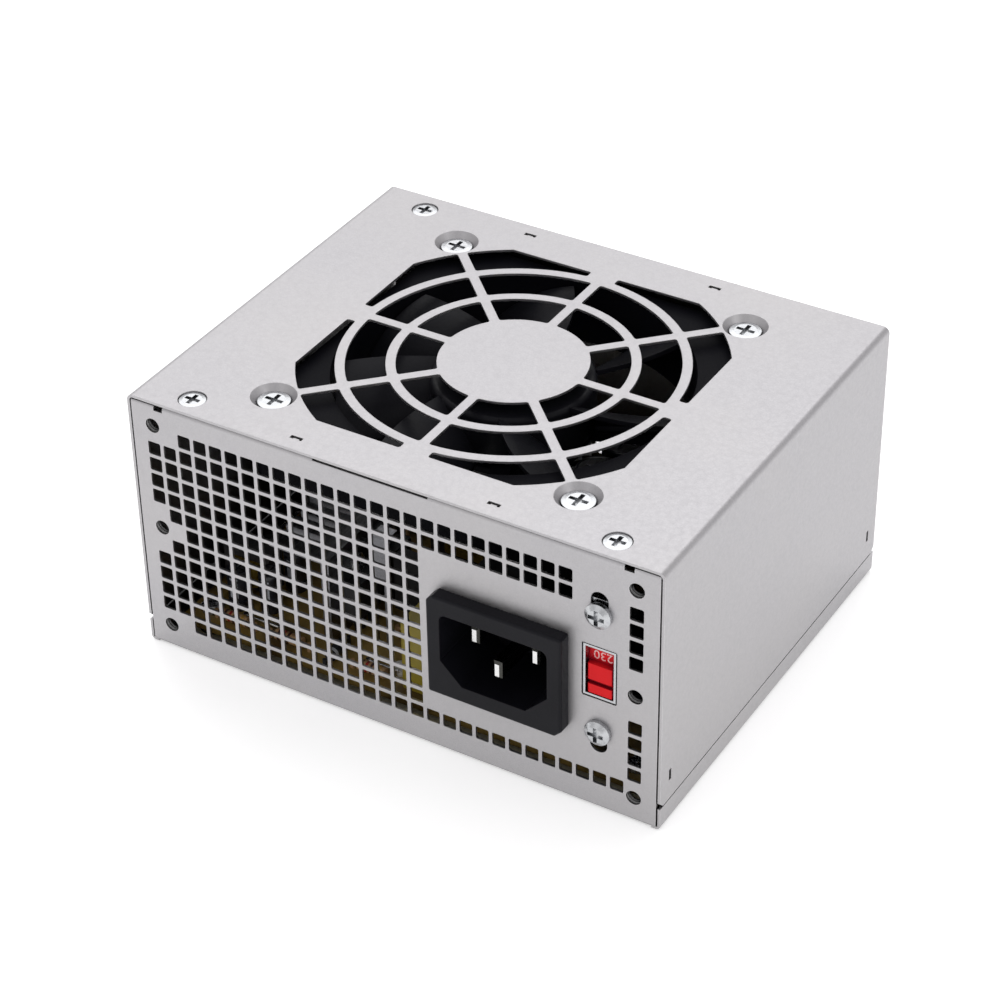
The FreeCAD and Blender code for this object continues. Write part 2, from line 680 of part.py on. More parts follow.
def make_case_screws():
    """Fan screws, cover screws, selector screws and board screws."""
    fan = [sunk_screw(f"FanScrew{index}", place, D.caseHeight - D.fanScrewSink, D.fanScrewHead, 2.05,
                      D.fanTop - 9)
           for index, place in enumerate(fan_screw_places())]
    node(group("FanScrews", fan), "fan_screws")
    cover = [sunk_screw(f"CoverScrew{index}", place, D.caseHeight - 0.05, D.coverScrewHead, 1.5,
                        INNER_TOP - 5)
             for index, place in enumerate(cover_screw_places())]
    node(group("CoverScrews", cover), "cover_screws")
    selector = [screw(f"SelectorScrew{index}", "Y", (D.selectorX, D.selectorZ + end * D.selectorScrewRise),
                      -HALF_DEPTH, -1, D.selectorScrewHead, (1.2, 4))
                for index, end in enumerate((-1, 1))]
    node(group("SelectorScrews", selector), "selector_screws")
    board = [screw(f"BoardScrew{index}", "Z", place, BOARD_TOP, 1, 2.6, (1.4, 4))
             for index, place in enumerate(corners_of(D.standoffX, D.standoffY))]
    node(group("BoardScrews", board), "board_screws")


# ---------------------------------------------------------------- mains inlet and voltage selector

def inlet_pins():
    """Centre, tip and name of the three inlet pins; the earth pin reaches further out."""
    deep, near = -HALF_DEPTH + D.pinInset, -HALF_DEPTH - D.earthReach
    upper, lower = D.inletZ + D.pinRise, D.inletZ - D.earthDrop
    half = D.pinSpacing / 2
    return [("inlet_pin_line", D.inletX + half, upper, deep),
            ("inlet_pin_neutral", D.inletX - half, upper, deep),
            ("inlet_pin_earth", D.inletX, lower, near)]


def make_inlet():
    """Moulded inlet housing with its keyed cavity, and the three pins."""
    body = new_body("inlet_housing")
    front = HALF_DEPTH + D.inletFlange
    x, z = D.inletX, D.inletZ
    wide, tall, corner = D.inletWide / 2, D.inletTall / 2, D.inletCorner
    flange = new_sketch(body, "InletFlangeOutline", "XZ_Plane", front)
    polygon(flange, [(x - wide, z - tall), (x + wide - corner, z - tall),
                     (x + wide, z - tall + corner), (x + wide, z + tall),
                     (x - wide + corner, z + tall), (x - wide, z + tall - corner)])
    pad(body, "InletFlange", flange, D.inletFlange, reverse=True)
    bend(body, "InletFlangeCorners", D.inletSoftness, Y_AXIS, lambda place: True)
    rim = -front.value
    bend(body, "InletFlangeRim", D.inletSoftness, None, lambda place: abs(place.y - rim) < 0.01)
    shell = new_sketch(body, "InletBodyOutline", "XZ_Plane", front)
    rounded_rectangle(shell, (x, z), D.inletBodyWide, D.inletBodyTall, 1.4)
    pad(body, "InletBody", shell, D.inletFlange + D.inletReach, reverse=True)
    make_inlet_cavity(body, front)
    node(body, "inlet_housing")
    back = -HALF_DEPTH + 18.5
    for label, pin_x, pin_z, tip in inlet_pins():
        half_wide, half_tall = D.pinWide / 2, D.pinTall / 2
        blade = box(label + "_blade", (pin_x - half_wide, pin_x + half_wide), (tip, back),
                    (pin_z - half_tall, pin_z + half_tall))
        tail = box(label + "_tail", (pin_x - 0.4, pin_x + 0.4), (back, back + 5.5), (pin_z - 2, pin_z + 2))
        tip_y = as_size(tip).value
        pointed = taper_end(label + "_tip", blade, D.pinTaper, lambda place, y=tip_y: abs(place.y - y) < 0.1)
        node(fuse(label + "_whole", [pointed, tail]), label)


def make_inlet_cavity(body, front):
    """Keyed cavity for a mains lead's socket, with the slots that the pins stand in."""
    x, z = D.inletX, D.inletZ
    wide, tall, cut_off = D.cavityWide / 2, D.cavityTall / 2, D.cavityChamfer
    cavity = new_sketch(body, "InletCavityOutline", "XZ_Plane", front)
    polygon(cavity, [(x - wide + cut_off, z - tall), (x + wide - cut_off, z - tall),
                     (x + wide, z - tall + cut_off), (x + wide, z + tall), (x - wide, z + tall),
                     (x - wide, z - tall + cut_off)])
    pocket(body, "InletCavity", cavity, D.cavityDepth)
    side, roof, middle = wide.value, (z + tall).value, x.value
    bend(body, "InletCavityRound", D.cavityRound, Y_AXIS,
         lambda place: abs(abs(place.x - middle) - side) < 0.1 and abs(place.z - roof) < 0.1)
    slots = new_sketch(body, "InletPinSlots", "XZ_Plane", front)
    for _, pin_x, pin_z, _ in inlet_pins():
        rectangle(slots, (pin_x, pin_z), D.pinWide, D.pinTall)
    pocket(body, "InletPinHoles", slots, D.inletReach * 2)


def make_selector():
    """Slide switch that sets the mains voltage: bracket, housing, slider and terminals."""
    x, z = D.selectorX, D.selectorZ
    back = -HALF_DEPTH + D.sheetGauge
    face = back + D.bracketThick
    wide, tall = D.windowWide / 2 - D.windowGap, D.windowTall / 2 - D.windowGap
    rise, front, rim = D.selectorScrewRise, -HALF_DEPTH + D.rimInset, D.rimThick
    plate = fuse("BracketPlate", [
        box("BracketStrip", (x - 4.4, x + 4.4), (back, face), (z - rise - 3.2, z + rise + 3.2)),
        box("BracketRim", (x - wide, x + wide), (front, face), (z - tall, z + tall))])
    openings = [box("BracketWindow", (x - wide + rim, x + wide - rim), (front - 1, face + 1),
                    (z - tall + rim, z + tall - rim))]
    for end in (-1, 1):
        openings.append(cylinder(f"BracketHole{end + 1}", 1.25, (x, z + end * rise), back - 1, face + 1,
                                 "Y"))
    node(cut("Bracket", plate, openings), "selector_bracket")
    rear, half = face + D.housingDeep, D.housingTall / 2
    shell = box("SelectorShell", (x - 4.6, x + 4.6), (face, rear), (z - half, z + half))
    inside = box("SelectorInside", (x - 3.9, x + 3.9), (face - 1, rear - 1.4),
                 (z - half + 0.7, z + half - 0.7))
    node(cut("SelectorHousing", shell, [inside]), "selector_housing")
    make_selector_slider(face)
    tabs = []
    for index, level in enumerate((-5, 0, 5)):
        tabs.append(box(f"SelectorTab{index}", (x - 1.4, x + 1.4), (rear, rear + 5),
                        (z + level - 0.4, z + level + 0.4)))
    node(group("SelectorTabs", tabs), "selector_terminals")


def make_selector_slider(face):
    """Raised thumb block on the plate that carries the two voltage numbers behind the window."""
    x = D.selectorX
    wide = D.windowWide / 2 - D.windowGap - D.rimThick - D.sliderSide
    foot = D.selectorZ - D.windowTall / 2 + D.windowGap + D.rimThick + D.sliderPlay
    top = foot + D.sliderTall
    front = -HALF_DEPTH + D.sliderFront
    block = box("SliderBlock", (x - wide, x + wide), (front, face + 0.3), (foot, top))
    soft = round_edges("SliderSoft", block, 0.35, Z_AXIS)
    plate = box("SliderPlate", (x - D.sliderPlateSide, x + D.sliderPlateSide), (face + 0.05, face + 1.05),
                (foot - D.sliderPlateBelow, top + D.sliderPlateAbove))
    stem = box("SliderStem", (x - 1.5, x + 1.5), (face + 0.9, face + 6), (foot + 1.6, foot + 6.4))
    groove = box("SliderGroove", (x - wide - 1, x + wide + 1), (front - 1, front + 0.9),
                 (foot + 2.2, foot + 3.3))
    node(cut("Slider", fuse("SliderWhole", [soft, plate, stem]), [groove]), "selector_slider")


# ---------------------------------------------------------------- fan

FAN_FOOT = D.fanTop - D.fanHeight
HUB_TOP = D.fanTop - 0.8
BLADE_COUNT = 7


def make_fan_frame():
    """Square frame with the bearing tube on four struts below the rotor."""
    half = D.fanSize / 2
    block = box("FanBlock", (-half, half), (-half, half), (FAN_FOOT, D.fanTop))
    square = round_edges("FanSquare", block, 4, Z_AXIS)
    holes = [cylinder("FanBoreTool", D.fanBore, (0, 0), FAN_FOOT - 1, D.fanTop + 1)]
    for index, place in enumerate(fan_screw_places()):
        holes.append(cylinder(f"FanHole{index}", 2.15, place, FAN_FOOT - 1, D.fanTop + 1))
        holes.append(cone(f"FanSink{index}", 3.2, 4.0, place, D.fanTop - 0.9, D.fanTop))
    ring = cut("FanRing", square, holes)
    middle = [cylinder("FanPlate", 17, (0, 0), FAN_FOOT, FAN_FOOT + 1.4),
              cylinder("FanTubeOutside", 3.4, (0, 0), FAN_FOOT, FAN_FOOT + 10)]
    for index in range(4):
        middle.append(turned_box(f"FanStrut{index}", D.fanBore + 1 - 15, 4, FAN_FOOT, FAN_FOOT + 2.4,
                                 90 * index + 22, start=15))
    bore = cylinder("FanTubeInside", 2.5, (0, 0), FAN_FOOT + 1.4, FAN_FOOT + 11)
    node(cut("FanFrame", fuse("FanWhole", [ring] + middle), [bore]), "fan_frame")


def blade_section(radius, reach, lead):
    """Thin cambered outline of a fan blade, in the plane at one radius."""
    high, low = (HUB_TOP - 0.5).value, (HUB_TOP - 10.4).value
    thick = 0.55

    def at(share, offset):
        z = high + (low - high) * share
        bulge = 1.6 * math.sin(math.pi * share)
        return FreeCAD.Vector(radius, lead + reach * (share - 0.5) + bulge * 0.5, z + bulge * 0.6 + offset)

    above = Part.Arc(at(0, thick), at(0.5, thick), at(1, thick)).toShape()
    below = Part.Arc(at(1, -thick), at(0.5, -thick), at(0, -thick)).toShape()
    ends = [Part.makeLine(at(1, thick), at(1, -thick)), Part.makeLine(at(0, -thick), at(0, thick))]
    return Part.Wire([above, ends[0], below, ends[1]])


def add_blades(hub_shape):
    """Hub joined to seven swept blades, lofted from the hub to the tip and trimmed to a round."""
    hub, tip = D.hubRadius.value - 1, D.bladeTip.value
    sections = [blade_section(hub, 11, 0), blade_section((hub + tip) / 2, 16, 3.2),
                blade_section(tip + 2, 20, 9)]
    rough = Part.makeLoft(sections, True)
    foot = FreeCAD.Vector(0, 0, FAN_FOOT.value)
    blade = rough.common(Part.makeCylinder(tip, 30, foot)).cut(Part.makeCylinder(hub + 0.5, 30, foot))
    bladed = DOC.addObject("Part::Feature", "RotorBladed")
    bladed.Shape = hub_shape.fuse([
        blade.Solids[0].rotated(FreeCAD.Vector(), Z_AXIS, 360 * index / BLADE_COUNT)
        for index in range(BLADE_COUNT)])
    return bladed


def make_fan_rotor():
    """Rotor hub with its blades, and the shaft, yoke and magnet that turn with it."""
    foot = HUB_TOP - 11
    shell = cylinder("HubOutside", D.hubRadius, (0, 0), foot, HUB_TOP)
    rim = DOC.addObject("Part::Fillet", "HubRim")
    rim.Base = shell
    DOC.recompute()
    rim.Edges = [(index, 1.2, 1.2) for index, edge in enumerate(shell.Shape.Edges, start=1)
                 if abs(edge.CenterOfMass.z - HUB_TOP.value) < 0.01]
    inside = cut("HubHollow", cylinder("HubInside", D.hubRadius - 1, (0, 0), foot - 1, HUB_TOP - 1.2),
                 [cylinder("HubBoss", 3, (0, 0), HUB_TOP - 2.6, HUB_TOP)])
    bore = cylinder("HubBore", D.shaftRadius, (0, 0), foot, HUB_TOP - 0.5)
    DOC.recompute()
    node(cut("Rotor", add_blades(rim.Shape), [inside, bore]), "fan_rotor")
    node(cylinder("Shaft", D.shaftRadius, (0, 0), FAN_FOOT + 1.45, HUB_TOP - 0.5), "fan_shaft")
    node(tube("Clip", 2.3, D.shaftRadius, (0, 0), FAN_FOOT + 1.6, FAN_FOOT + 2.0), "fan_retaining_clip")
    node(tube("Yoke", D.hubRadius - 1, D.hubRadius - 1.6, (0, 0), foot + 1, HUB_TOP - 1.4), "fan_yoke")
    node(tube("Magnet", D.hubRadius - 1.6, D.hubRadius - 3.1, (0, 0), foot + 1, HUB_TOP - 1.8),
         "fan_magnet_ring")


def make_fan_stator():
    """Bearing sleeve, driver board, laminated core with four poles, and the coils."""
    node(tube("Bearing", 2.5, D.shaftRadius + D.bearingGap, (0, 0), FAN_FOOT + 2.3, FAN_FOOT + 10),
         "fan_bearing")
    node(tube("DriverBoard", 14, 3.4, (0, 0), FAN_FOOT + 2.0, FAN_FOOT + 2.8), "fan_driver_board")
    low, high = FAN_FOOT + 4.4, FAN_FOOT + 9.4
    poles, arms, windings = [cylinder("CoreHub", 6.5, (0, 0), low, high)], [], []
    for index in range(4):
        angle = 90 * index + 45
        poles.append(turned_box(f"CoreArm{index}", 8, 3, low, high, angle, start=5))
        tip = turned_box(f"CoreTipBlock{index}", 4, 16, low, high, angle, start=10.6)
        ring = tube(f"CoreRing{index}", 13.7, 12.2, (0, 0), low, high)
        poles.append(common(f"CoreTip{index}", tip, ring))
        arms.append(turned_box(f"CoilGap{index}", 9, 3.2, low - 0.1, high + 0.1, angle, start=5))
        windings.append(turned_box(f"CoilBlock{index}", 4.6, 6.4, low - 0.8, high + 0.8, angle, start=7.0))
    bore = cylinder("CoreBore", 3.4, (0, 0), low - 1, high + 1)
    node(cut("StatorCore", fuse("CorePoles", poles), [bore]), "fan_stator_core")
    coils = [cut(f"Coil{index}", winding, [arm])
             for index, (winding, arm) in enumerate(zip(windings, arms))]
    node(group("FanCoils", coils), "fan_coils")


# ---------------------------------------------------------------- circuit board and its parts

SINK_SCREW_RISE = 17
RESISTOR_PLACES = [(-45, -42.5, "X"), (-31, -42.5, "X"), (-52, -14, "Y"), (-10, -42.5, "X"), (-8, -28, "X"),
                   (9, 2, "Y"), (-30, 8, "Y"), (54, -22, "Y")]
DIODE_PLACES = [(-55, -17, "Y"), (-20, -41, "Y"), (12, 12, "Y"), (51, -5, "Y"), (56, 30, "Y")]
JUMPER_PLACES = [(-40, -39.5, "X", 9), (-9, -39.5, "X", 8), (-14, -17.5, "X", 10), (2, -9, "X", 7),
                 (-56, -8, "Y", 12), (40, -2.5, "X", 9)]
SMALL_CAPACITOR_PLACES = [(-48, -36.5), (-41.5, -34), (-5, -34), (-41, -25), (22, 41)]


def make_board():
    """Insulation sheet, standoffs and the circuit board."""
    low = D.sheetGauge
    places = corners_of(D.standoffX, D.standoffY)
    sheet = box("SheetBlank", (-56, 56), (-44.5, 44.5), (low, low + 0.3))
    holes = [cylinder(f"SheetHole{index}", 3.2, place, low - 1, low + 1)
             for index, place in enumerate(places)]
    node(cut("InsulationSheet", sheet, holes), "insulation_sheet")
    posts = [tube(f"Standoff{index}", 2.5, 1.5, place, low, D.boardBottom)
             for index, place in enumerate(places)]
    node(group("Standoffs", posts), "board_standoffs")
    blank = box("BoardBlank", (-D.boardHalfX, D.boardHalfX), (-D.boardFront, D.boardBack),
                (D.boardBottom, BOARD_TOP))
    holes = [cylinder(f"BoardHole{index}", 1.7, place, D.boardBottom - 1, BOARD_TOP + 1)
             for index, place in enumerate(places)]
    node(cut("Board", blank, holes), "circuit_board")


def heatsink(name, label, face, outward, y_span, height, packages):
    """Upright aluminium plate with comb fingers bent over at its top."""
    low, high = y_span
    thick, finger = 2, 13
    top = BOARD_TOP + height
    plate = box(name + "Plate", ordered(face, face + outward * thick), y_span, (BOARD_TOP, top))
    fold = box(name + "Fold", ordered(face, face + outward * (thick + finger)), y_span, (top - 1.5, top))
    count = int((high - low) / 5)
    gaps = []
    for index in range(1, count):
        middle = low + (high - low) * index / count
        gaps.append(box(f"{name}Gap{index}", ordered(face + outward * (thick + 3), face + outward * 40),
                        (middle - 0.9, middle + 0.9), (top - 3, top + 1)))
    for index, y in enumerate(packages):
        gaps.append(cylinder(f"{name}Hole{index}", 1.6, (y, BOARD_TOP + SINK_SCREW_RISE),
                             face - 5, face + 5, "X"))
    node(cut(name + "Comb", fuse(name + "Bent", [plate, fold]), gaps), label)


def power_packages(name, label, face, outward, places):
    """Transistors or rectifiers in flat plastic packages, clamped to a heatsink face."""
    pieces = []
    for index, y in enumerate(places):
        tag = f"{name}{index}"
        low, high = BOARD_TOP + 5, BOARD_TOP + 14
        case = box(tag + "Case", ordered(face, face + outward * 4.4), (y - 5, y + 5), (low, high))
        tab = box(tag + "Tab", ordered(face, face + outward * 1.3), (y - 5, y + 5), (high, high + 6))
        legs = [box(f"{tag}Leg{leg}", ordered(face + outward * 2.4, face + outward * 2.9),
                    (y + offset - 0.4, y + offset + 0.4), (BOARD_TOP, low))
                for leg, offset in enumerate((-2.54, 0, 2.54))]
        hole = cylinder(tag + "Hole", 1.6, (y, BOARD_TOP + SINK_SCREW_RISE),
                        *ordered(face - outward * 5, face + outward * 8), "X")
        pieces.append(cut(tag, fuse(tag + "Whole", [case, tab] + legs), [hole]))
    node(group(name + "Group", pieces), label)


def make_heatsinks():
    """Primary and secondary heatsinks with their power packages and screws."""
    primary, secondary = -23, 20
    primary_places, secondary_places = (-30, -18), (4, 20)
    heatsink("Primary", "primary_heatsink", primary, -1, (-38, -10), 22, primary_places)
    power_packages("Transistor", "switching_transistors", primary, 1, primary_places)
    heatsink("Secondary", "secondary_heatsink", secondary, 1, (-6, 38), 28, secondary_places)
    power_packages("Rectifier", "output_rectifiers", secondary, -1, secondary_places)
    screws = []
    for name, face, outward, places in (("SinkScrewA", primary, 1, primary_places),
                                        ("SinkScrewB", secondary, -1, secondary_places)):
        for index, y in enumerate(places):
            screws.append(screw(f"{name}{index}", "X", (y, BOARD_TOP + SINK_SCREW_RISE),
                                face + outward * 1.3, outward, 2.5, (1.5, 4)))
    node(group("SinkScrews", screws), "heatsink_screws")
    top = BOARD_TOP + 28.9
    sides, front = (-15, -11), -34
    standby = [box("StandbyPlate", sides, (front, front + 1), (top - 10.5, top)),
               box("StandbyFold", sides, (front, front + 4.5), (top - 1, top))]
    for index, x in enumerate(sides):
        span = (x, x + 0.8) if index == 0 else (x - 0.8, x)
        standby.append(box(f"StandbyLeg{index}", span, (front, front + 1), (BOARD_TOP, top - 10)))
    node(fuse("StandbySink", standby), "standby_heatsink")


def transformer(name, label, centre, core_size, leg, overhang):
    """Ferrite core frame around a taped winding that stands out at both sides."""
    x, y = centre
    wide, deep, tall = core_size
    low = BOARD_TOP
    frame = box(name + "Frame", (x - wide / 2, x + wide / 2), (y - deep / 2, y + deep / 2),
                (low, low + tall))
    window = box(name + "Window", (x - wide / 2 + leg, x + wide / 2 - leg), (y - deep, y + deep),
                 (low + leg, low + tall - leg))
    node(cut(name + "Core", frame, [window]), label + "_core")
    inside, reach = wide / 2 - leg - 0.1, deep / 2 + overhang
    coil = box(name + "Coil", (x - inside, x + inside), (y - reach, y + reach),
               (low + leg + 0.1, low + tall - leg - 0.1))
    node(round_edges(name + "Taped", coil, 1.5, Z_AXIS), label + "_winding")


def toroid(name, label, centre, radii, z_span, angles):
    """Ring core with wire turns round it; each turn is its own loop."""
    inner, outer = radii
    low, high = z_span
    wire = 1.0
    node(tube(name + "Ring", outer, inner, centre, low, high), label + "_core")
    turns = []
    for index, angle in enumerate(angles):
        loop = turned_box(f"{name}Loop{index}", outer - inner + 2.2, wire, low - wire, high + wire, angle,
                          start=inner - 1.1, centre=centre)
        gap = turned_box(f"{name}Gap{index}", outer - inner + 0.4, wire * 2, low - 0.1, high + 0.1, angle,
                         start=inner - 0.2, centre=centre)
        turns.append(cut(f"{name}Turn{index}", loop, [gap]))
    node(group(name + "Turns", turns), label + "_winding")


def capacitors(name, label, places, radius, height):
    """Upright electrolytic capacitors with a crimp groove near the foot."""
    cans = []
    for index, place in enumerate(places):
        tag = f"{name}{index}"
        can = cylinder(tag + "Can", radius, place, BOARD_TOP, BOARD_TOP + height)
        groove = tube(tag + "Groove", radius + 1, radius - 0.4, place, BOARD_TOP + 2.4, BOARD_TOP + 3.2)
        cans.append(cut(tag, can, [groove]))
    node(group(name + "Group", cans), label)


def make_board_parts():
    """Parts soldered to the board, mains side first."""
    transformer("Main", "main_transformer", (-8, 7), (28, 14, 25), 6, 5)
    transformer("Standby", "standby_transformer", (-24, 30), (18, 8, 16), 3.5, 3)
    transformer("Driver", "driver_transformer", (-50, -28), (12, 5, 10), 2.2, 2.2)
    toroid("Choke", "common_mode_choke", (32, -20), (5, 9), (BOARD_TOP + 1.2, BOARD_TOP + 9),
           [20 * step + side for side in (-60, 120) for step in range(7)])
    toroid("Inductor", "output_inductor", (44, 12), (6, 11), (BOARD_TOP + 1.2, BOARD_TOP + 11),
           [20 * step for step in range(18)])
    capacitors("Bulk", "bulk_capacitors", [(-46, 2), (-46, 21.5)], 9, 32)
    capacitors("Output", "output_capacitors", [(-6, 34), (8, 34), (8, 22), (32, 34), (46, 34)], 5, 20)
    film = box("FilmBlock", (-2.5, 7.5), (-43, -25), (BOARD_TOP, BOARD_TOP + 17))
    node(round_edges("Film", film, 0.8, Z_AXIS), "x_capacitor")
    discs = [cylinder(f"SafetyDisc{index}", 4, (y, BOARD_TOP + 5), 46, 49, "X")
             for index, y in enumerate((-24, -14))]
    node(group("SafetyDiscs", discs), "y_capacitors")
    node(cylinder("InrushDisc", 5, (13, BOARD_TOP + 6), -20.5, -16.5, "Y"), "thermistor")
    glass = [cylinder("FuseGlass", 2.4, (-41, BOARD_TOP + 3.2), 16, 36, "X")]
    for index, start in enumerate((16, 31)):
        glass.append(cylinder(f"FuseCap{index}", 2.7, (-41, BOARD_TOP + 3.2), start, start + 5, "X"))
    node(fuse("FuseWhole", glass), "fuse")
    bridge = [box("BridgeCase", (-16, 0), (-24, -20.5), (BOARD_TOP + 3, BOARD_TOP + 17))]
    for index in range(4):
        leg = -14 + index * 4
        bridge.append(box(f"BridgeLeg{index}", (leg - 0.5, leg + 0.5), (-22.5, -22),
                          (BOARD_TOP, BOARD_TOP + 3)))
    node(fuse("BridgeWhole", bridge), "bridge_rectifier")
    socket = box("SocketBlock", (-43, -37), (32, 37.5), (BOARD_TOP, BOARD_TOP + 6))
    well = box("SocketWell", (-42.2, -37.8), (32.8, 36.7), (BOARD_TOP + 1, BOARD_TOP + 7))
    node(cut("Socket", socket, [well]), "fan_socket")


def wire_bridge(name, centre, axis, level, span):
    """Wire that runs level over the board between two upright feet."""
    x, y = centre
    line, middle = ((y, level), x) if axis == "X" else ((x, level), y)
    pieces = [cylinder(name + "Wire", D.wireRadius, line, middle - span / 2, middle + span / 2, axis)]
    for index, end in enumerate((-1, 1)):
        foot = (x + end * span / 2, y) if axis == "X" else (x, y + end * span / 2)
        pieces.append(cylinder(f"{name}Foot{index}", D.wireFoot, foot, BOARD_TOP, level + D.wireFoot))
    return pieces


def axial_part(name, place, radius, length, span):
    """Round body lying on the board, carried by a wire bridge through its middle."""
    x, y, axis = place
    level = BOARD_TOP + radius + D.wireLift
    line, middle = ((y, level), x) if axis == "X" else ((x, level), y)
    body = cylinder(name + "Body", radius, line, middle - length / 2, middle + length / 2, axis)
    return fuse(name, [body] + wire_bridge(name, (x, y), axis, level, span))


def make_small_parts():
    """Resistors, diodes, small capacitors and jumper wires between the large parts."""
    resistors = [axial_part(f"Resistor{index}", place, D.resistorRadius, D.resistorLong, D.resistorSpan)
                 for index, place in enumerate(RESISTOR_PLACES)]
    node(group("Resistors", resistors), "small_resistors")
    diodes = [axial_part(f"Diode{index}", place, D.diodeRadius, D.diodeLong, D.diodeSpan)
              for index, place in enumerate(DIODE_PLACES)]
    node(group("Diodes", diodes), "small_diodes")
    level = BOARD_TOP + 2 * D.wireLift
    jumpers = [fuse(f"Jumper{index}", wire_bridge(f"Jumper{index}", (x, y), axis, level, span))
               for index, (x, y, axis, span) in enumerate(JUMPER_PLACES)]
    node(group("Jumpers", jumpers), "jumper_wires")
    capacitors("Small", "small_capacitors", SMALL_CAPACITOR_PLACES, 2.5, 10)


def lead(name, points):
    """Insulated wire along straight runs joined by large tangent arcs."""
    corners = [FreeCAD.Vector(*point) for point in points]
    edges, start = [], corners[0]
    for before, corner, after in zip(corners, corners[1:], corners[2:]):
        back, forth = (before - corner), (after - corner)
        run = 0.45 * min(back.Length, forth.Length)
        back.normalize()
        forth.normalize()
        enter, leave = corner + back * run, corner + forth * run
        half = back.getAngle(forth) / 2
        inward = (back + forth).normalize()
        middle = corner + inward * (run / math.cos(half) - run * math.tan(half))
        edges += [Part.makeLine(start, enter), Part.Arc(enter, middle, leave).toShape()]
        start = leave
    edges.append(Part.makeLine(start, corners[-1]))
    path = Part.Wire(edges)
    ring = Part.Circle(corners[0], corners[1] - corners[0], D.leadRadius.value).toShape()
    item = DOC.addObject("Part::Feature", name)
    item.Shape = path.makePipeShell([Part.Wire([ring])], True, False)
    return item


def make_leads():
    """Leads from the inlet to the board, and from the fan to its socket."""
    tail = (-HALF_DEPTH + 24).value
    level, half = (D.inletZ + D.pinRise).value, (D.pinSpacing / 2).value
    left, right = D.inletX.value - half, D.inletX.value + half
    low = BOARD_TOP.value
    mains = [lead("LeadLeft", [(left, tail, level), (left, tail + 7, level), (15, -12, 24), (12, -8, 14),
                               (12, -8, low)]),
             lead("LeadRight", [(right, tail, level), (right, tail + 8, level), (39, -8, 26), (44, -4, 15),
                                (44, -4, low)])]
    node(group("MainsLeads", mains), "inlet_leads")
    under = FAN_FOOT.value
    pair = [lead(f"FanLead{index}", [(-36 + shift, 38, under), (-36 + shift, 38, under - 9),
                                     (-40.5 + shift / 2, 35, 24), (-41 + shift, 34.7, 15),
                                     (-41 + shift, 34.7, low + 1)])
            for index, shift in enumerate((0, 2.2))]
    node(group("FanLeads", pair), "fan_lead")


def make_grommet():
    """Grommet that lines the cable outlet, gripping the rear wall in its groove."""
    centre = (D.outletX, D.outletZ)
    wall = HALF_DEPTH - D.sheetGauge
    rings = [cylinder("GrommetSleeve", D.outletRadius - 0.05, centre, wall - 1.8, HALF_DEPTH + 1.6, "Y"),
             cylinder("GrommetInner", D.outletRadius + 1.6, centre, wall - 1.8, wall, "Y"),
             cylinder("GrommetOuter", D.outletRadius + 1.6, centre, HALF_DEPTH, HALF_DEPTH + 1.6, "Y")]
    bore = cylinder("GrommetBore", D.outletRadius - 1.8, centre, wall - 3, HALF_DEPTH + 3, "Y")
    node(cut("Grommet", fuse("GrommetWhole", rings), [bore]), "cable_grommet")


# ---------------------------------------------------------------- build, check and write

def build():
    """Make every sub-part."""
    make_cover()
    make_base_tray()
    make_case_screws()
    make_inlet()
    make_selector()
    make_fan_frame()
    make_fan_rotor()
    make_fan_stator()
    make_board()
    make_heatsinks()
    make_board_parts()
    make_small_parts()
    make_leads()
    make_grommet()
    DOC.recompute()


def check():
    """Stop if any object failed or any sub-part is not a valid solid."""
    for item in DOC.Objects:
        if "Invalid" in item.State or "Error" in item.State:
            raise RuntimeError(f"{item.Name} failed: {item.State}")
    for item in NODES:
        if item.Shape.isNull() or not item.Shape.isValid() or not item.Shape.Solids:
            raise RuntimeError(f"{item.Label} is not a valid solid")


def write():
    """Write one STEP file for each sub-part."""
    for item in NODES:
        item.Shape.exportStep(f"parts/{item.Label}.step")
    print(len(NODES), "sub-parts written")


build()
check()
write()
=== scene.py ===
import json
import math
import bpy
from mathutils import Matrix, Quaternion, Vector


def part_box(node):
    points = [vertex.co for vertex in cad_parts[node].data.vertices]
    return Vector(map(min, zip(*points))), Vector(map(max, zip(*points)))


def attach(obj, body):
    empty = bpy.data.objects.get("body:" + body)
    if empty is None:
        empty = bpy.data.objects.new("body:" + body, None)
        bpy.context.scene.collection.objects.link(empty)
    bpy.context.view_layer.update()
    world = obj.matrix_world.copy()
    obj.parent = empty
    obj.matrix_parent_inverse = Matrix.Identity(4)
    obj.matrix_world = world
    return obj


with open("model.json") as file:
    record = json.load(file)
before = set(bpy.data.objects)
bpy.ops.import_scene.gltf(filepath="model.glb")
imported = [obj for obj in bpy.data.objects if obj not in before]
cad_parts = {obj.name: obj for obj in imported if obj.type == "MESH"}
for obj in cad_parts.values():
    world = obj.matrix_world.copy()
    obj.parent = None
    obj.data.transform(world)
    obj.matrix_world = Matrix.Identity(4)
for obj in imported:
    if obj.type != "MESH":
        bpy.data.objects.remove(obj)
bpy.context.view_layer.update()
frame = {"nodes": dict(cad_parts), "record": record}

MM = 0.001


# ---------------------------------------------------------------- camera, floor and light

CAMERA_PLACE = Vector((0.2593, -0.4322, 0.3848))
CAMERA_AIM = Vector((0.0, -0.0063, 0.0318))
CAMERA_ROLL = math.radians(-0.93)
CAMERA_LENS = 103.56
SENSOR_WIDTH = 36
FLOOR_DROP = 0.0002
FLOOR_REACH = 8.0
WORLD_COLOUR = (1.0, 0.99, 1.0, 1.0)
WORLD_LEVEL = 0.75
FLOOR_GLOW = 0.60
LAMP_AIM = Vector((0.0, 0.0, 0.03))
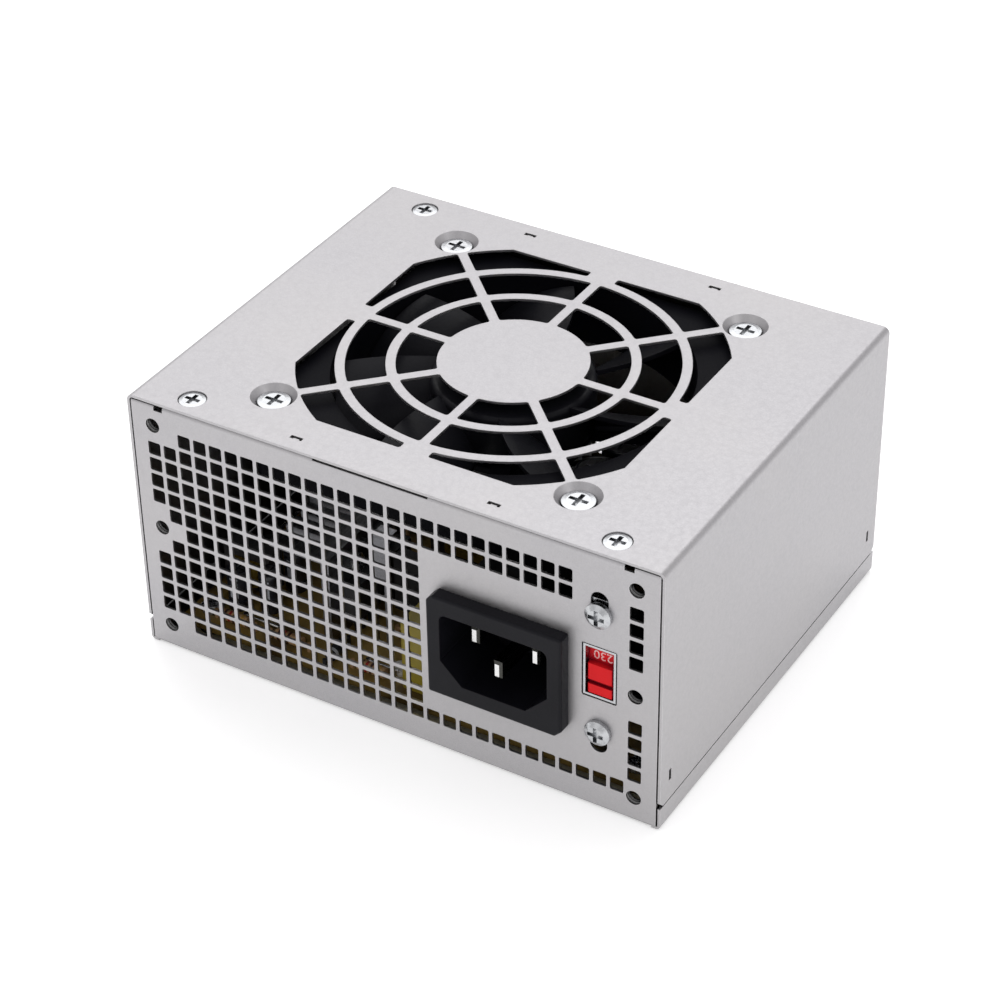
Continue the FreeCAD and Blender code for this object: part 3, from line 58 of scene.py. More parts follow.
# Name, place in metres, side in metres and power in watts of each lamp.
LAMPS = (
    ("lamp_above", (-0.50, 0.80, 1.35), 1.6, 10.8),
    ("lamp_front", (-0.3, -1.1, 0.7), 0.7, 0.5),
    ("lamp_right", (1.1, -0.1, 0.6), 0.7, 1.3),
)


def linear(red, green, blue):
    """The linear colour, with alpha, of an sRGB colour given in steps of 255."""
    steps = [value / 255 for value in (red, green, blue)]
    return [step / 12.92 if step <= 0.04045 else ((step + 0.055) / 1.055) ** 2.4 for step in steps] + [1.0]


def grey(level):
    """A neutral linear colour."""
    return [level, level, level, 1.0]


def make_camera():
    """Camera at the photograph's angle."""
    lens = bpy.data.cameras.new("camera")
    lens.lens = CAMERA_LENS
    lens.sensor_width = SENSOR_WIDTH
    camera = bpy.data.objects.new("camera", lens)
    aim = (CAMERA_AIM - CAMERA_PLACE).to_track_quat("-Z", "Y")
    camera.rotation_mode = "QUATERNION"
    camera.rotation_quaternion = aim @ Quaternion((0, 0, 1), CAMERA_ROLL)
    camera.location = CAMERA_PLACE
    bpy.context.scene.collection.objects.link(camera)
    bpy.context.scene.camera = camera


def area_light(name, place, size, power):
    """One soft square lamp."""
    lamp = bpy.data.lights.new(name, "AREA")
    lamp.size = size
    lamp.energy = power
    holder = bpy.data.objects.new(name, lamp)
    holder.location = place
    holder.rotation_euler = (LAMP_AIM - Vector(place)).to_track_quat("-Z", "Y").to_euler()
    bpy.context.scene.collection.objects.link(holder)


def make_light():
    """White surroundings and three soft lamps."""
    world = bpy.data.worlds.new("studio")
    world.use_nodes = True
    world.node_tree.nodes["Background"].inputs["Color"].default_value = WORLD_COLOUR
    world.node_tree.nodes["Background"].inputs["Strength"].default_value = WORLD_LEVEL
    scene = bpy.context.scene
    scene.world = world
    scene.view_settings.view_transform = "Standard"
    scene.view_settings.look = "None"
    for lamp in LAMPS:
        area_light(*lamp)


# ---------------------------------------------------------------- finishes

# Colours are linear. Noise, cell and wave scales are per metre. Relief, edge radii and recess
# distances are in metres.
FUSE_CAP = 5 * MM
EDGE_SAMPLES = 4
RECESS_SHADE_SAMPLES = 6
# Numbers of the Mix node's two colour inputs and of its colour output.
MIX_FIRST = 6
MIX_SECOND = 7
MIX_RESULT = 2


class Finish:
    """A node material while it is built."""

    def __init__(self, name, **settings):
        """Start the material, with shader inputs given by name."""
        self.material = bpy.data.materials.new(name)
        self.material.use_nodes = True
        self.tree = self.material.node_tree
        self.shader = self.tree.nodes["Principled BSDF"]
        for key, value in settings.items():
            self.feed(self.shader.inputs[key.replace("_", " ")], value)
        self.place = self.node("ShaderNodeTexCoord").outputs["Object"]

    def feed(self, socket, value):
        """Join or set one input."""
        if isinstance(value, bpy.types.NodeSocket):
            self.tree.links.new(value, socket)
        else:
            socket.default_value = value

    def node(self, kind, inputs=None, **properties):
        """A new node with its properties set and its inputs fed."""
        made = self.tree.nodes.new(kind)
        for key, value in properties.items():
            setattr(made, key, value)
        for key, value in (inputs or {}).items():
            self.feed(made.inputs[key], value)
        return made

    def stretched(self, scale):
        """Object coordinates scaled per axis."""
        return self.node("ShaderNodeMapping", {"Vector": self.place, "Scale": scale}).outputs["Vector"]

    def noise(self, scale, detail=2.0, stretch=None):
        """Soft noise from 0 to 1, its scale in waves per metre."""
        vector = self.stretched(stretch) if stretch else self.place
        inputs = {"Vector": vector, "Scale": scale, "Detail": detail}
        return self.node("ShaderNodeTexNoise", inputs).outputs["Fac"]

    def cells(self, scale, feature="F1"):
        """Distance to the nearest cell point, or to the cell edge."""
        inputs = {"Vector": self.place, "Scale": scale}
        return self.node("ShaderNodeTexVoronoi", inputs, feature=feature).outputs["Distance"]

    def waves(self, scale, direction="Z", distortion=0.0, profile="SIN"):
        """Even bands across one axis."""
        inputs = {"Vector": self.place, "Scale": scale, "Distortion": distortion}
        made = self.node("ShaderNodeTexWave", inputs, wave_type="BANDS", bands_direction=direction,
                         wave_profile=profile)
        return made.outputs["Fac"]

    def ramp(self, factor, low, high, start=0.0, end=1.0):
        """A value mapped from the span low to high onto start to end, and held there."""
        inputs = {"Value": factor, "From Min": low, "From Max": high, "To Min": start, "To Max": end}
        return self.node("ShaderNodeMapRange", inputs, clamp=True).outputs["Result"]

    def math(self, operation, first, second):
        """Arithmetic on two values."""
        return self.node("ShaderNodeMath", {0: first, 1: second}, operation=operation).outputs[0]

    def mix(self, factor, first, second):
        """A colour between two others."""
        made = self.node("ShaderNodeMix", {"Factor": factor}, data_type="RGBA")
        self.feed(made.inputs[MIX_FIRST], first)
        self.feed(made.inputs[MIX_SECOND], second)
        return made.outputs[MIX_RESULT]

    def axis(self, name):
        """One coordinate in metres."""
        return self.node("ShaderNodeSeparateXYZ", {"Vector": self.place}).outputs[name]

    def edges(self, radius):
        """The rounded normal, and a value that is near 1 on sharp edges."""
        bevel = self.node("ShaderNodeBevel", {"Radius": radius}, samples=EDGE_SAMPLES)
        rounded = bevel.outputs["Normal"]
        flat = self.node("ShaderNodeNewGeometry").outputs["Normal"]
        facing = self.node("ShaderNodeVectorMath", {0: rounded, 1: flat}, operation="DOT_PRODUCT")
        return rounded, self.ramp(facing.outputs["Value"], 0.999, 0.8)

    def painted_recess_shade(self, distance, low=0.15, high=0.75):
        """A mask near 1 deep in recesses and 0 on open faces, for painting shade into recesses."""
        occlusion = self.node("ShaderNodeAmbientOcclusion", {"Distance": distance}, samples=RECESS_SHADE_SAMPLES)
        return self.ramp(occlusion.outputs["AO"], low, high, 1.0, 0.0)

    def colour(self, value):
        """Set the base colour."""
        self.feed(self.shader.inputs["Base Color"], value)

    def rough(self, value):
        """Set the roughness."""
        self.feed(self.shader.inputs["Roughness"], value)

    def bump(self, height, distance, under=None):
        """Relief of the given height in metres, over another normal if one is given."""
        inputs = {"Height": height, "Distance": distance, "Strength": 1.0}
        if under:
            inputs["Normal"] = under
        made = self.node("ShaderNodeBump", inputs)
        self.feed(self.shader.inputs["Normal"], made.outputs["Normal"])
        return made.outputs["Normal"]


def sheet_steel():
    """Zinc-coated sheet: matte, with a fine grain and faint clouds, a painted highlight along its edges and
    painted shade in its recesses.
    """
    steel = Finish("sheet_steel", Metallic=1.0)
    grain = steel.noise(2600, 3.0)
    cloud = steel.noise(22, 3.0)
    fleck = steel.cells(900)
    base = steel.mix(steel.ramp(grain, 0.3, 0.7), (0.415, 0.408, 0.422, 1), (0.470, 0.460, 0.472, 1))
    clouded = steel.mix(steel.ramp(cloud, 0.35, 0.7, 0.0, 0.35), base, (0.480, 0.466, 0.462, 1))
    rounded, edge = steel.edges(0.00022)
    # Painted highlight: the steel is lightened towards pale grey along sharp edges.
    steel_with_painted_edge_highlight = steel.mix(steel.math("MULTIPLY", edge, 0.6), clouded, grey(0.78))
    # Painted shade: the steel is darkened to dark grey deep in recesses.
    steel.colour(steel.mix(steel.painted_recess_shade(0.05, 0.12, 0.38), steel_with_painted_edge_highlight, grey(0.10)))
    steel.rough(steel.ramp(steel.math("ADD", fleck, grain), 0.4, 1.5, 0.40, 0.50))
    steel.bump(steel.math("ADD", grain, fleck), 0.000012, rounded)
    return steel.material


def zinc_screw():
    """Bright zinc plating with fine tool marks, and painted shade deep in its recesses."""
    zinc = Finish("zinc_screw", Metallic=1.0)
    marks = zinc.noise(1400, 4.0)
    bright = zinc.mix(marks, (0.42, 0.43, 0.45, 1), (0.60, 0.61, 0.62, 1))
    # Painted shade: the plating turns near black deep in recesses.
    zinc.colour(zinc.mix(zinc.painted_recess_shade(0.0010), bright, (0.085, 0.090, 0.098, 1)))
    zinc.rough(zinc.ramp(marks, 0.3, 0.7, 0.18, 0.34))
    rounded, _ = zinc.edges(0.00015)
    zinc.bump(marks, 0.00003, rounded)
    return zinc.material


def moulded_plastic(name, dark, light, low_rough, high_rough, texture=3200, relief=0.00002, gloss=0.5,
                    edge_radius=0.0002):
    """Moulded plastic with a fine spark-eroded texture and slightly rounded edges."""
    plastic = Finish(name, Specular_IOR_Level=gloss)
    fine = plastic.noise(texture, 2.0)
    broad = plastic.noise(60, 3.0)
    plastic.colour(plastic.mix(plastic.ramp(broad, 0.3, 0.75), dark, light))
    plastic.rough(plastic.ramp(fine, 0.3, 0.7, low_rough, high_rough))
    rounded, _ = plastic.edges(edge_radius)
    plastic.bump(fine, relief, rounded)
    return plastic.material


def drawn_metal(name, dark, light, stretch, low_rough=0.15, high_rough=0.3, relief=0.000006):
    """Drawn, turned or rolled metal with fine lines across the short direction of the stretch."""
    metal = Finish(name, Metallic=1.0)
    lines = metal.noise(900, 4.0, stretch)
    metal.colour(metal.mix(metal.ramp(lines, 0.3, 0.7), dark, light))
    metal.rough(metal.ramp(lines, 0.25, 0.75, low_rough, high_rough))
    rounded, _ = metal.edges(0.0001)
    metal.bump(lines, relief, rounded)
    return metal.material


def contact_metal():
    """Nickel-plated contact blade, its end that faces the front painted bright as a highlight and its sides
    and bevels painted dark as shade.
    """
    contact = Finish("pin_metal", Metallic=1.0)
    lines = contact.noise(900, 4.0, (3, 0.2, 3))
    normal = contact.node("ShaderNodeTexCoord").outputs["Normal"]
    forward = contact.node("ShaderNodeSeparateXYZ", {"Vector": normal}).outputs["Y"]
    # Painted light and shade: faces turned to the front are painted bright, all other faces dark.
    painted_lit_front = contact.ramp(forward, -0.98, -0.9, 1.0, 0.0)
    bright = contact.mix(lines, grey(0.70), grey(0.90))
    contact.colour(contact.mix(painted_lit_front, (0.07, 0.07, 0.065, 1), bright))
    contact.rough(contact.ramp(lines, 0.25, 0.75, 0.2, 0.34))
    contact.bump(lines, 0.000006)
    return contact.material


def cut_thread():
    """Steel of a cut thread, painted dark for the shade in its bore, and near black deep in its grooves as
    painted shade.
    """
    thread = Finish("cut_thread", Metallic=1.0)
    marks = thread.noise(2200, 3.0)
    # Painted shade: the thread's steel is kept dark for the shade inside the bore.
    crest = thread.mix(marks, grey(0.07), grey(0.24))
    # Painted shade: near black deep in the grooves.
    thread.colour(thread.mix(thread.painted_recess_shade(0.0012, 0.25, 0.7), crest, grey(0.02)))
    thread.rough(thread.ramp(marks, 0.3, 0.7, 0.22, 0.4))
    thread.bump(marks, 0.00002)
    return thread.material


def selector_plastic():
    """Moulded red plastic, with painted shade darkening its recesses."""
    red = Finish("red_plastic", Specular_IOR_Level=0.12)
    fine = red.noise(1800, 2.0)
    broad = red.noise(80, 3.0)
    face = red.mix(red.ramp(broad, 0.3, 0.75), (0.60, 0.006, 0.010, 1), (0.72, 0.010, 0.014, 1))
    # Painted shade: the red turns deep and dark in recesses.
    red.colour(red.mix(red.painted_recess_shade(0.0025, 0.2, 0.85), face, (0.13, 0.002, 0.012, 1)))
    red.rough(red.ramp(fine, 0.3, 0.7, 0.34, 0.46))
    rounded, _ = red.edges(0.0001)
    red.bump(fine, 0.00002, rounded)
    return red.material


def laminations():
    """A stack of thin steel sheets, seen as fine bands along Z."""
    stack = Finish("laminations", Metallic=1.0)
    bands = stack.waves(320, "Z")
    spots = stack.noise(700, 3.0)
    stack.colour(stack.mix(bands, (0.24, 0.24, 0.26, 1), (0.46, 0.45, 0.47, 1)))
    stack.rough(stack.ramp(spots, 0.3, 0.7, 0.3, 0.5))
    stack.bump(bands, 0.00004)
    return stack.material


def wound_copper():
    """Enamelled copper wire."""
    wire = Finish("wound_copper", Metallic=1.0, Coat_Weight=0.6, Coat_Roughness=0.12)
    turns = wire.waves(420, "DIAGONAL")
    tone = wire.noise(300, 2.0)
    wire.colour(wire.mix(tone, (0.46, 0.16, 0.05, 1), (0.72, 0.30, 0.11, 1)))
    wire.rough(wire.ramp(tone, 0.3, 0.7, 0.22, 0.36))
    wire.bump(turns, 0.00006)
    return wire.material


def circuit_laminate():
    """Tan paper laminate with fibres and small darker stains."""
    board = Finish("circuit_laminate", Coat_Weight=0.25, Coat_Roughness=0.25)
    fibre = board.noise(500, 4.0, (1, 0.25, 1))
    stain = board.noise(70, 3.0)
    base = board.mix(fibre, linear(132, 108, 54), linear(168, 140, 74))
    board.colour(board.mix(board.ramp(stain, 0.5, 0.62, 0.0, 0.8), base, linear(70, 54, 28)))
    board.rough(board.ramp(fibre, 0.2, 0.8, 0.38, 0.55))
    board.bump(fibre, 0.00002)
    return board.material


def solder_mask():
    """Green solder mask over faint tracks."""
    board = Finish("solder_mask", Coat_Weight=0.4, Coat_Roughness=0.15)
    track = board.cells(420, "DISTANCE_TO_EDGE")
    mask = board.ramp(track, 0.08, 0.12)
    board.colour(board.mix(mask, (0.02, 0.22, 0.07, 1), (0.012, 0.10, 0.035, 1)))
    board.rough(board.ramp(board.noise(900, 2.0), 0.3, 0.7, 0.3, 0.45))
    board.bump(mask, 0.00002)
    return board.material


def paper_film():
    """Cream insulating film."""
    film = Finish("paper_film", Coat_Weight=0.2, Coat_Roughness=0.3)
    fibre = film.noise(350, 4.0, (0.3, 1, 1))
    film.colour(film.mix(fibre, linear(214, 206, 178), linear(233, 227, 205)))
    film.rough(film.ramp(fibre, 0.3, 0.7, 0.4, 0.6))
    film.bump(fibre, 0.00002)
    return film.material


def sintered_ferrite():
    """Dark sintered ferrite with pits."""
    ferrite = Finish("sintered_ferrite")
    pits = ferrite.cells(1300)
    tone = ferrite.noise(200, 3.0)
    ferrite.colour(ferrite.mix(tone, (0.028, 0.026, 0.027, 1), (0.075, 0.070, 0.070, 1)))
    ferrite.rough(ferrite.ramp(tone, 0.3, 0.7, 0.42, 0.6))
    rounded, _ = ferrite.edges(0.0003)
    ferrite.bump(pits, 0.00005, rounded)
    return ferrite.material


def wound_tape(name, dark, light):
    """Glossy tape in overlapping turns."""
    tape = Finish(name, Coat_Weight=0.7, Coat_Roughness=0.12)
    turns = tape.waves(95, "Z", 1.2, "SAW")
    tone = tape.noise(160, 3.0)
    tape.colour(tape.mix(tape.math("MULTIPLY", tone, turns), dark, light))
    tape.rough(tape.ramp(tone, 0.3, 0.7, 0.28, 0.42))
    tape.bump(turns, 0.00012)
    return tape.material


def painted_core():
    """Yellow painted powder core with speckles."""
    core = Finish("painted_core", Coat_Weight=0.3, Coat_Roughness=0.2)
    speck = core.cells(1500)
    tone = core.noise(180, 3.0)
    base = core.mix(tone, linear(196, 158, 30), linear(226, 192, 62))
    core.colour(core.mix(core.ramp(speck, 0.0, 0.25, 0.5, 0.0), base, linear(120, 92, 20)))
    core.rough(core.ramp(tone, 0.3, 0.7, 0.35, 0.5))
    core.bump(speck, 0.00004)
    return core.material


def dipped_ceramic(name, dark, light):
    """Dipped ceramic or resin with a soft uneven skin."""
    skin = Finish(name, Coat_Weight=0.5, Coat_Roughness=0.15)
    lumps = skin.noise(420, 2.0)
    skin.colour(skin.mix(lumps, dark, light))
    skin.rough(skin.ramp(lumps, 0.3, 0.7, 0.3, 0.45))
    skin.bump(lumps, 0.00018)
    return skin.material


def fuse_glass(low, high, cap):
    """Glass tube between two nickel caps, told apart along X."""
    glass = Finish("fuse_glass", IOR=1.5)
    along = glass.axis("X")
    left = glass.math("LESS_THAN", along, low + cap)
    right = glass.math("GREATER_THAN", along, high - cap)
    metal = glass.math("MAXIMUM", left, right)
    smudge = glass.noise(600, 3.0)
    glass.colour(glass.mix(metal, (0.86, 0.92, 0.90, 1), (0.78, 0.77, 0.74, 1)))
    glass.feed(glass.shader.inputs["Metallic"], metal)
    glass.feed(glass.shader.inputs["Transmission Weight"], glass.ramp(metal, 0.0, 1.0, 0.92, 0.0))
    glass.rough(glass.ramp(smudge, 0.3, 0.7, 0.05, 0.2))
    glass.bump(smudge, 0.00001)
    return glass.material


def insulated_wire(name, dark, light):
    """Soft wire insulation."""
    wire = Finish(name, Sheen_Weight=0.15)
    skin = wire.noise(900, 2.0)
    wire.colour(wire.mix(skin, dark, light))
    wire.rough(wire.ramp(skin, 0.3, 0.7, 0.42, 0.6))
    wire.bump(skin, 0.00003)
    return wire.material


def lacquered_resistor():
    """Lacquered tan body with darker specks."""
    coat = Finish("resistor_coat", Coat_Weight=0.4, Coat_Roughness=0.2)
    specks = coat.noise(1500, 2.0)
    tone = coat.noise(260, 2.0)
    base = coat.mix(tone, linear(168, 132, 92), linear(196, 160, 116))
    coat.colour(coat.mix(coat.ramp(specks, 0.62, 0.7, 0.0, 0.5), base, linear(120, 84, 54)))
    coat.rough(coat.ramp(tone, 0.3, 0.7, 0.32, 0.5))
    coat.bump(tone, 0.00004)
    return coat.material


def printed_ink():
    """Pale ink with thin spots."""
    ink = Finish("printed_ink")
    thin = ink.noise(2400, 3.0)
    ink.colour(ink.mix(ink.ramp(thin, 0.35, 0.5), linear(205, 120, 120), linear(236, 190, 188)))
    ink.rough(ink.ramp(thin, 0.3, 0.7, 0.4, 0.6))
    ink.bump(thin, 0.000006)
    return ink.material


def polarity_stripe():
    """Pale printed stripe with dark dashes."""
    stripe = Finish("polarity_stripe", Coat_Weight=0.5, Coat_Roughness=0.15)
    dashes = stripe.waves(60, "Z")
    wear = stripe.noise(900, 3.0)
    ink = stripe.math("MULTIPLY", stripe.ramp(dashes, 0.80, 0.84), stripe.ramp(wear, 0.2, 0.4))
    stripe.colour(stripe.mix(ink, linear(186, 190, 196), linear(38, 40, 46)))
    stripe.rough(stripe.ramp(wear, 0.3, 0.7, 0.3, 0.45))
    stripe.bump(wear, 0.00001)
    return stripe.material


def floor_paper():
    """Pale studio floor with an almost invisible grain."""
    paper = Finish("floor_paper")
    grain = paper.noise(40, 3.0)
    shade = paper.mix(grain, grey(0.78), grey(0.80))
    paper.colour(shade)
    paper.feed(paper.shader.inputs["Emission Color"], shade)
    paper.feed(paper.shader.inputs["Emission Strength"], FLOOR_GLOW)
    paper.rough(paper.ramp(grain, 0.3, 0.7, 0.75, 0.85))
    return paper.material


def make_finishes():
    """Every finish by its material slot in the record."""
    fuse_low, fuse_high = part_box("fuse")
    black = ((0.004, 0.004, 0.006, 1), (0.008, 0.008, 0.011, 1))
    return {
        "galvanised_steel": sheet_steel(),
        "screw_steel": zinc_screw(),
        "black_plastic": moulded_plastic("inlet_plastic", *black, 0.34, 0.46, gloss=0.13),
        "pin_metal": contact_metal(),
        "red_plastic": selector_plastic(),
        "fan_plastic": moulded_plastic("fan_plastic", (0.004, 0.004, 0.006, 1), (0.008, 0.008, 0.010, 1),
                                       0.42, 0.56, gloss=0.03),
        "rotor_plastic": moulded_plastic("rotor_plastic", (0.006, 0.006, 0.008, 1), (0.012, 0.012, 0.015, 1),
                                         0.30, 0.42, 1500, 0.00003, gloss=0.08),
        "brass_metal": drawn_metal("brass_metal", (0.58, 0.40, 0.15, 1), (0.80, 0.60, 0.28, 1), (1, 1, 6)),
        "steel_shaft": drawn_metal("steel_shaft", (0.50, 0.50, 0.52, 1), (0.78, 0.78, 0.80, 1), (1, 1, 8)),
        "magnet": moulded_plastic("magnet", (0.020, 0.018, 0.018, 1), (0.045, 0.040, 0.040, 1),
                                  0.5, 0.7, 900, 0.00005),
        "lamination": laminations(),
        "copper_wire": wound_copper(),
        "green_board": solder_mask(),
        "brown_board": circuit_laminate(),
        "insulation": paper_film(),
        "aluminium_fin": drawn_metal("aluminium_fin", (0.22, 0.22, 0.235, 1), (0.38, 0.38, 0.40, 1),
                                     (4, 0.3, 4), 0.30, 0.45, 0.00001),
        "component_black": moulded_plastic("epoxy_package", (0.012, 0.012, 0.013, 1),
                                           (0.024, 0.024, 0.026, 1), 0.4, 0.6, 1800, 0.00003),
        "ferrite": sintered_ferrite(),
        "yellow_tape": wound_tape("yellow_tape", (0.24, 0.155, 0.02, 1), (0.36, 0.25, 0.035, 1)),
        "yellow_plastic": moulded_plastic("yellow_plastic", (0.30, 0.23, 0.02, 1), (0.38, 0.30, 0.03, 1),
                                          0.3, 0.45, 1200, 0.00003),
        "inductor_core": painted_core(),
        "capacitor_sleeve": wound_tape("capacitor_sleeve", (0.008, 0.008, 0.012, 1),
                                       (0.030, 0.032, 0.042, 1)),
        "blue_ceramic": dipped_ceramic("blue_ceramic", (0.03, 0.12, 0.40, 1), (0.08, 0.24, 0.60, 1)),
        "green_ceramic": dipped_ceramic("green_ceramic", (0.02, 0.09, 0.05, 1), (0.06, 0.18, 0.11, 1)),
        "fuse_glass": fuse_glass(fuse_low.x, fuse_high.x, FUSE_CAP),
        "white_plastic": moulded_plastic("nylon", (0.66, 0.64, 0.58, 1), (0.78, 0.76, 0.70, 1),
                                         0.4, 0.55, 900, 0.00003),
        "resistor_coat": lacquered_resistor(),
        "tinned_wire": drawn_metal("tinned_wire", (0.62, 0.62, 0.61, 1), (0.84, 0.84, 0.82, 1), (1, 1, 1)),
        "grey_lead": insulated_wire("wire_insulation", (0.050, 0.050, 0.054, 1), (0.085, 0.085, 0.090, 1)),
    }


def dress_nodes(finishes):
    """Give every CAD node the finish of its slot in the record."""
    slots = {part["node"]: part["material_slot"] for part in frame["record"]["subparts"]}
    for name, piece in frame["nodes"].items():
        finish = finishes[slots[name]]
        if not piece.material_slots:
            piece.data.materials.append(finish)
        for place in piece.material_slots:
            place.material = finish


# ---------------------------------------------------------------- sizes of the added pieces

FULL_TURN = 2 * math.pi
LATHE_STEPS = 48
# Mesh points that round to the same step of this size are one point.
STITCH = 0.001 * MM
# The slider's plate lies behind its thumb block; its numbers are set in from the plate's two ends.
PLATE_RECESS = 1.4 * MM
NUMERAL_HEIGHT = 2.9 * MM
NUMERAL_ABOVE = 3.1 * MM
NUMERAL_BELOW = 2.15 * MM
INK_THICKNESS = 0.02 * MM
# A capacitor's pressed top, with its crossed score, and the stripe down its sleeve.
SCORE_DEPTH = 0.22 * MM
SCORE_HALF_WIDTH = 0.28 * MM
SCORE_REACH = 0.62
TOP_MARGIN = 0.5 * MM
TOP_MIDDLE = 0.01 * MM
TOP_STAND = 0.06 * MM
TOP_RINGS = 16
TOP_STEPS = 64
STRIPE_STAND = 0.03 * MM
STRIPE_FOOT = 3.6 * MM
STRIPE_HEAD = 1.3 * MM
STRIPE_SWEEP = 0.75
STRIPE_STEPS = 10
# Capacitor nodes, and the angle in radians where each one's stripe starts.
STRIPE_TURNS = (("bulk_capacitors", -2.0), ("output_capacitors", -1.2), ("small_capacitors", -1.8))
# A sleeve's folded rim, from outside to inside: out from the can's side and up from its top, in millimetres.
RIM_PROFILE = ((0.04, -1.2), (0.05, -0.2), (-0.15, 0.15), (-0.6, 0.12), (-0.75, 0.02))
# Bands painted round the small parts: paint, place along the body and width, in millimetres.
BANDS = {
    "small_resistors": (("band_dark", -2.2, 0.6), ("band_red", -1.0, 0.6), ("band_dark", 0.2, 0.6),
                        ("band_gold", 2.1, 0.6)),
    "small_diodes": (("band_silver", -1.6, 0.8),),
}
BAND_RADIUS = {"small_resistors": 1.28 * MM, "small_diodes": 1.43 * MM}
BAND_STAND = 0.03 * MM
BAND_STEPS = 24
# Dark and light colour of each band's paint.
BAND_PAINTS = {
    "band_dark": (linear(58, 30, 20), linear(74, 40, 26)),
    "band_red": (linear(150, 28, 22), linear(176, 40, 30)),
    "band_gold": (linear(158, 118, 44), linear(190, 148, 62)),
    "band_silver": (linear(176, 178, 180), linear(206, 208, 210)),
}
# Adhesive beads on the board: place in metres, reach and height in millimetres.
GLUE_BEADS = (
    (-0.0460, 0.0118, 4.2, 2.6), (-0.0370, 0.0020, 3.0, 2.0), (-0.0010, 0.0340, 3.6, 2.0),
    (0.0320, -0.0110, 3.6, 1.8), (0.0440, 0.0250, 3.8, 2.2), (-0.0050, -0.0375, 2.6, 1.6),
)
GLUE_RINGS = 8
GLUE_STEPS = 28
# Lobes round a bead, how far they swell it, and how far each next bead's lobes are turned.
GLUE_LOBES = ((3, 0.16, 1), (5, 0.09, 2))
# The thread cut in each mounting collar.
THREAD_DEPTH = 0.32 * MM
THREAD_PITCH = 0.60 * MM
THREAD_START = 0.40 * MM
THREAD_TURNS = 1.85
THREAD_STEPS = 36
THREAD_ROOT_STAND = 0.02 * MM
THREAD_CREST_SHARE = 0.06


# ---------------------------------------------------------------- added pieces

def solids_of(name):
    """Lowest and highest corner of each separate solid in a CAD node."""
    mesh = frame["nodes"][name].data
    leader = {}

    def find(key):
        """The point that stands for everything joined to this one."""
        while leader[key] != key:
            leader[key] = leader[leader[key]]
            key = leader[key]
        return key

    keys = [tuple(round(value / STITCH) for value in vertex.co) for vertex in mesh.vertices]
    for key in keys:
        leader.setdefault(key, key)
    for face in mesh.polygons:
        first = find(keys[face.vertices[0]])
        for index in face.vertices[1:]:
            leader[find(keys[index])] = first
    groups = {}
    for vertex, key in zip(mesh.vertices, keys):
        groups.setdefault(find(key), []).append(vertex.co)
    spans = []
    for points in groups.values():
        low = Vector([min(point[axis] for point in points) for axis in range(3)])
        high = Vector([max(point[axis] for point in points) for axis in range(3)])
        spans.append((low, high))
    return sorted(spans, key=lambda span: tuple(span[0]))


class Shape:
    """Vertices and faces gathered from several parts into one piece."""

    def __init__(self):
        """Start with nothing gathered."""
        self.vertices = []
        self.faces = []

    def grid(self, rows, closed):
        """Quads between rows of points; a closed row joins its last point to its first."""
        width = len(rows[0])
        for row in range(len(rows) - 1):
            near = len(self.vertices) + row * width
            far = near + width
            for side in range(width if closed else width - 1):
                following = (side + 1) % width
                self.faces.append((near + side, near + following, far + following, far + side))
        for row in rows:
            self.vertices += [tuple(point) for point in row]

    def lathe(self, centre, profile, axis="Z", steps=LATHE_STEPS, start=0.0, sweep=FULL_TURN):
        """Profile of radius and height pairs turned about an axis through a centre."""
        closed = sweep == FULL_TURN
        count = steps if closed else steps + 1
        rows = []
        for radius, along in profile:
            row = []
            for step in range(count):
                angle = start + sweep * step / steps
                across = (radius * math.cos(angle), radius * math.sin(angle))
                places = {
                    "X": (along, *across),
                    "Y": (across[1], along, across[0]),
                    "Z": (*across, along),
                }
                row.append(Vector(centre) + Vector(places[axis]))
            rows.append(row)
        self.grid(rows, closed)

    def piece(self, name, finish, slot_name, body="chassis"):
        """The finished mesh, riding on a body."""
        mesh = bpy.data.meshes.new(name)
        mesh.from_pydata(self.vertices, [], self.faces)
        mesh.validate()
        mesh.materials.append(finish)
        for face in mesh.polygons:
            face.use_smooth = True
        piece = bpy.data.objects.new(name, mesh)
        bpy.context.scene.collection.objects.link(piece)
        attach(piece, body)


def vent_height(x, y, radius):
    """Height of a capacitor's pressed top, with a crossed score in it."""
    if max(abs(x), abs(y)) >= radius * SCORE_REACH:
        return 0.0
    return -SCORE_DEPTH * max(0.0, 1 - min(abs(x), abs(y)) / SCORE_HALF_WIDTH)


def pressed_top(middle, level, radius):
    """Rows of points over a capacitor's pressed top, from its rim to its middle."""
    rows = []
    for ring in range(TOP_RINGS + 1):
        reach = (radius - TOP_MARGIN) * (1 - ring / TOP_RINGS) + TOP_MIDDLE
        row = []
        for step in range(TOP_STEPS):
            angle = FULL_TURN * step / TOP_STEPS
            x, y = reach * math.cos(angle), reach * math.sin(angle)
            row.append((middle.x + x, middle.y + y, level + TOP_STAND + vent_height(x, y, radius)))
        rows.append(row)
    return rows


def make_capacitor_details(finishes):
    """Pressed metal tops, folded sleeve rims and pale polarity stripes on every electrolytic capacitor."""
    tops = Shape()
    rims = Shape()
    stripes = Shape()
    for name, turn in STRIPE_TURNS:
        for low, high in solids_of(name):
            middle = (low + high) / 2
            radius = (high.x - low.x) / 2
            skin = radius + STRIPE_STAND
            centre = (middle.x, middle.y, 0)
            span = [(skin, low.z + STRIPE_FOOT), (skin, high.z - STRIPE_HEAD)]
            tops.grid(pressed_top(middle, high.z, radius), True)
            rims.lathe(centre, [(radius + out * MM, high.z + up * MM) for out, up in RIM_PROFILE])
            stripes.lathe(centre, span, "Z", STRIPE_STEPS, turn, STRIPE_SWEEP)
    tops.piece("capacitor_tops", finishes["aluminium_fin"], "aluminium_fin")
    rims.piece("capacitor_sleeve_rims", finishes["capacitor_sleeve"], "capacitor_sleeve")
    stripes.piece("capacitor_stripes", polarity_stripe(), "capacitor_sleeve")


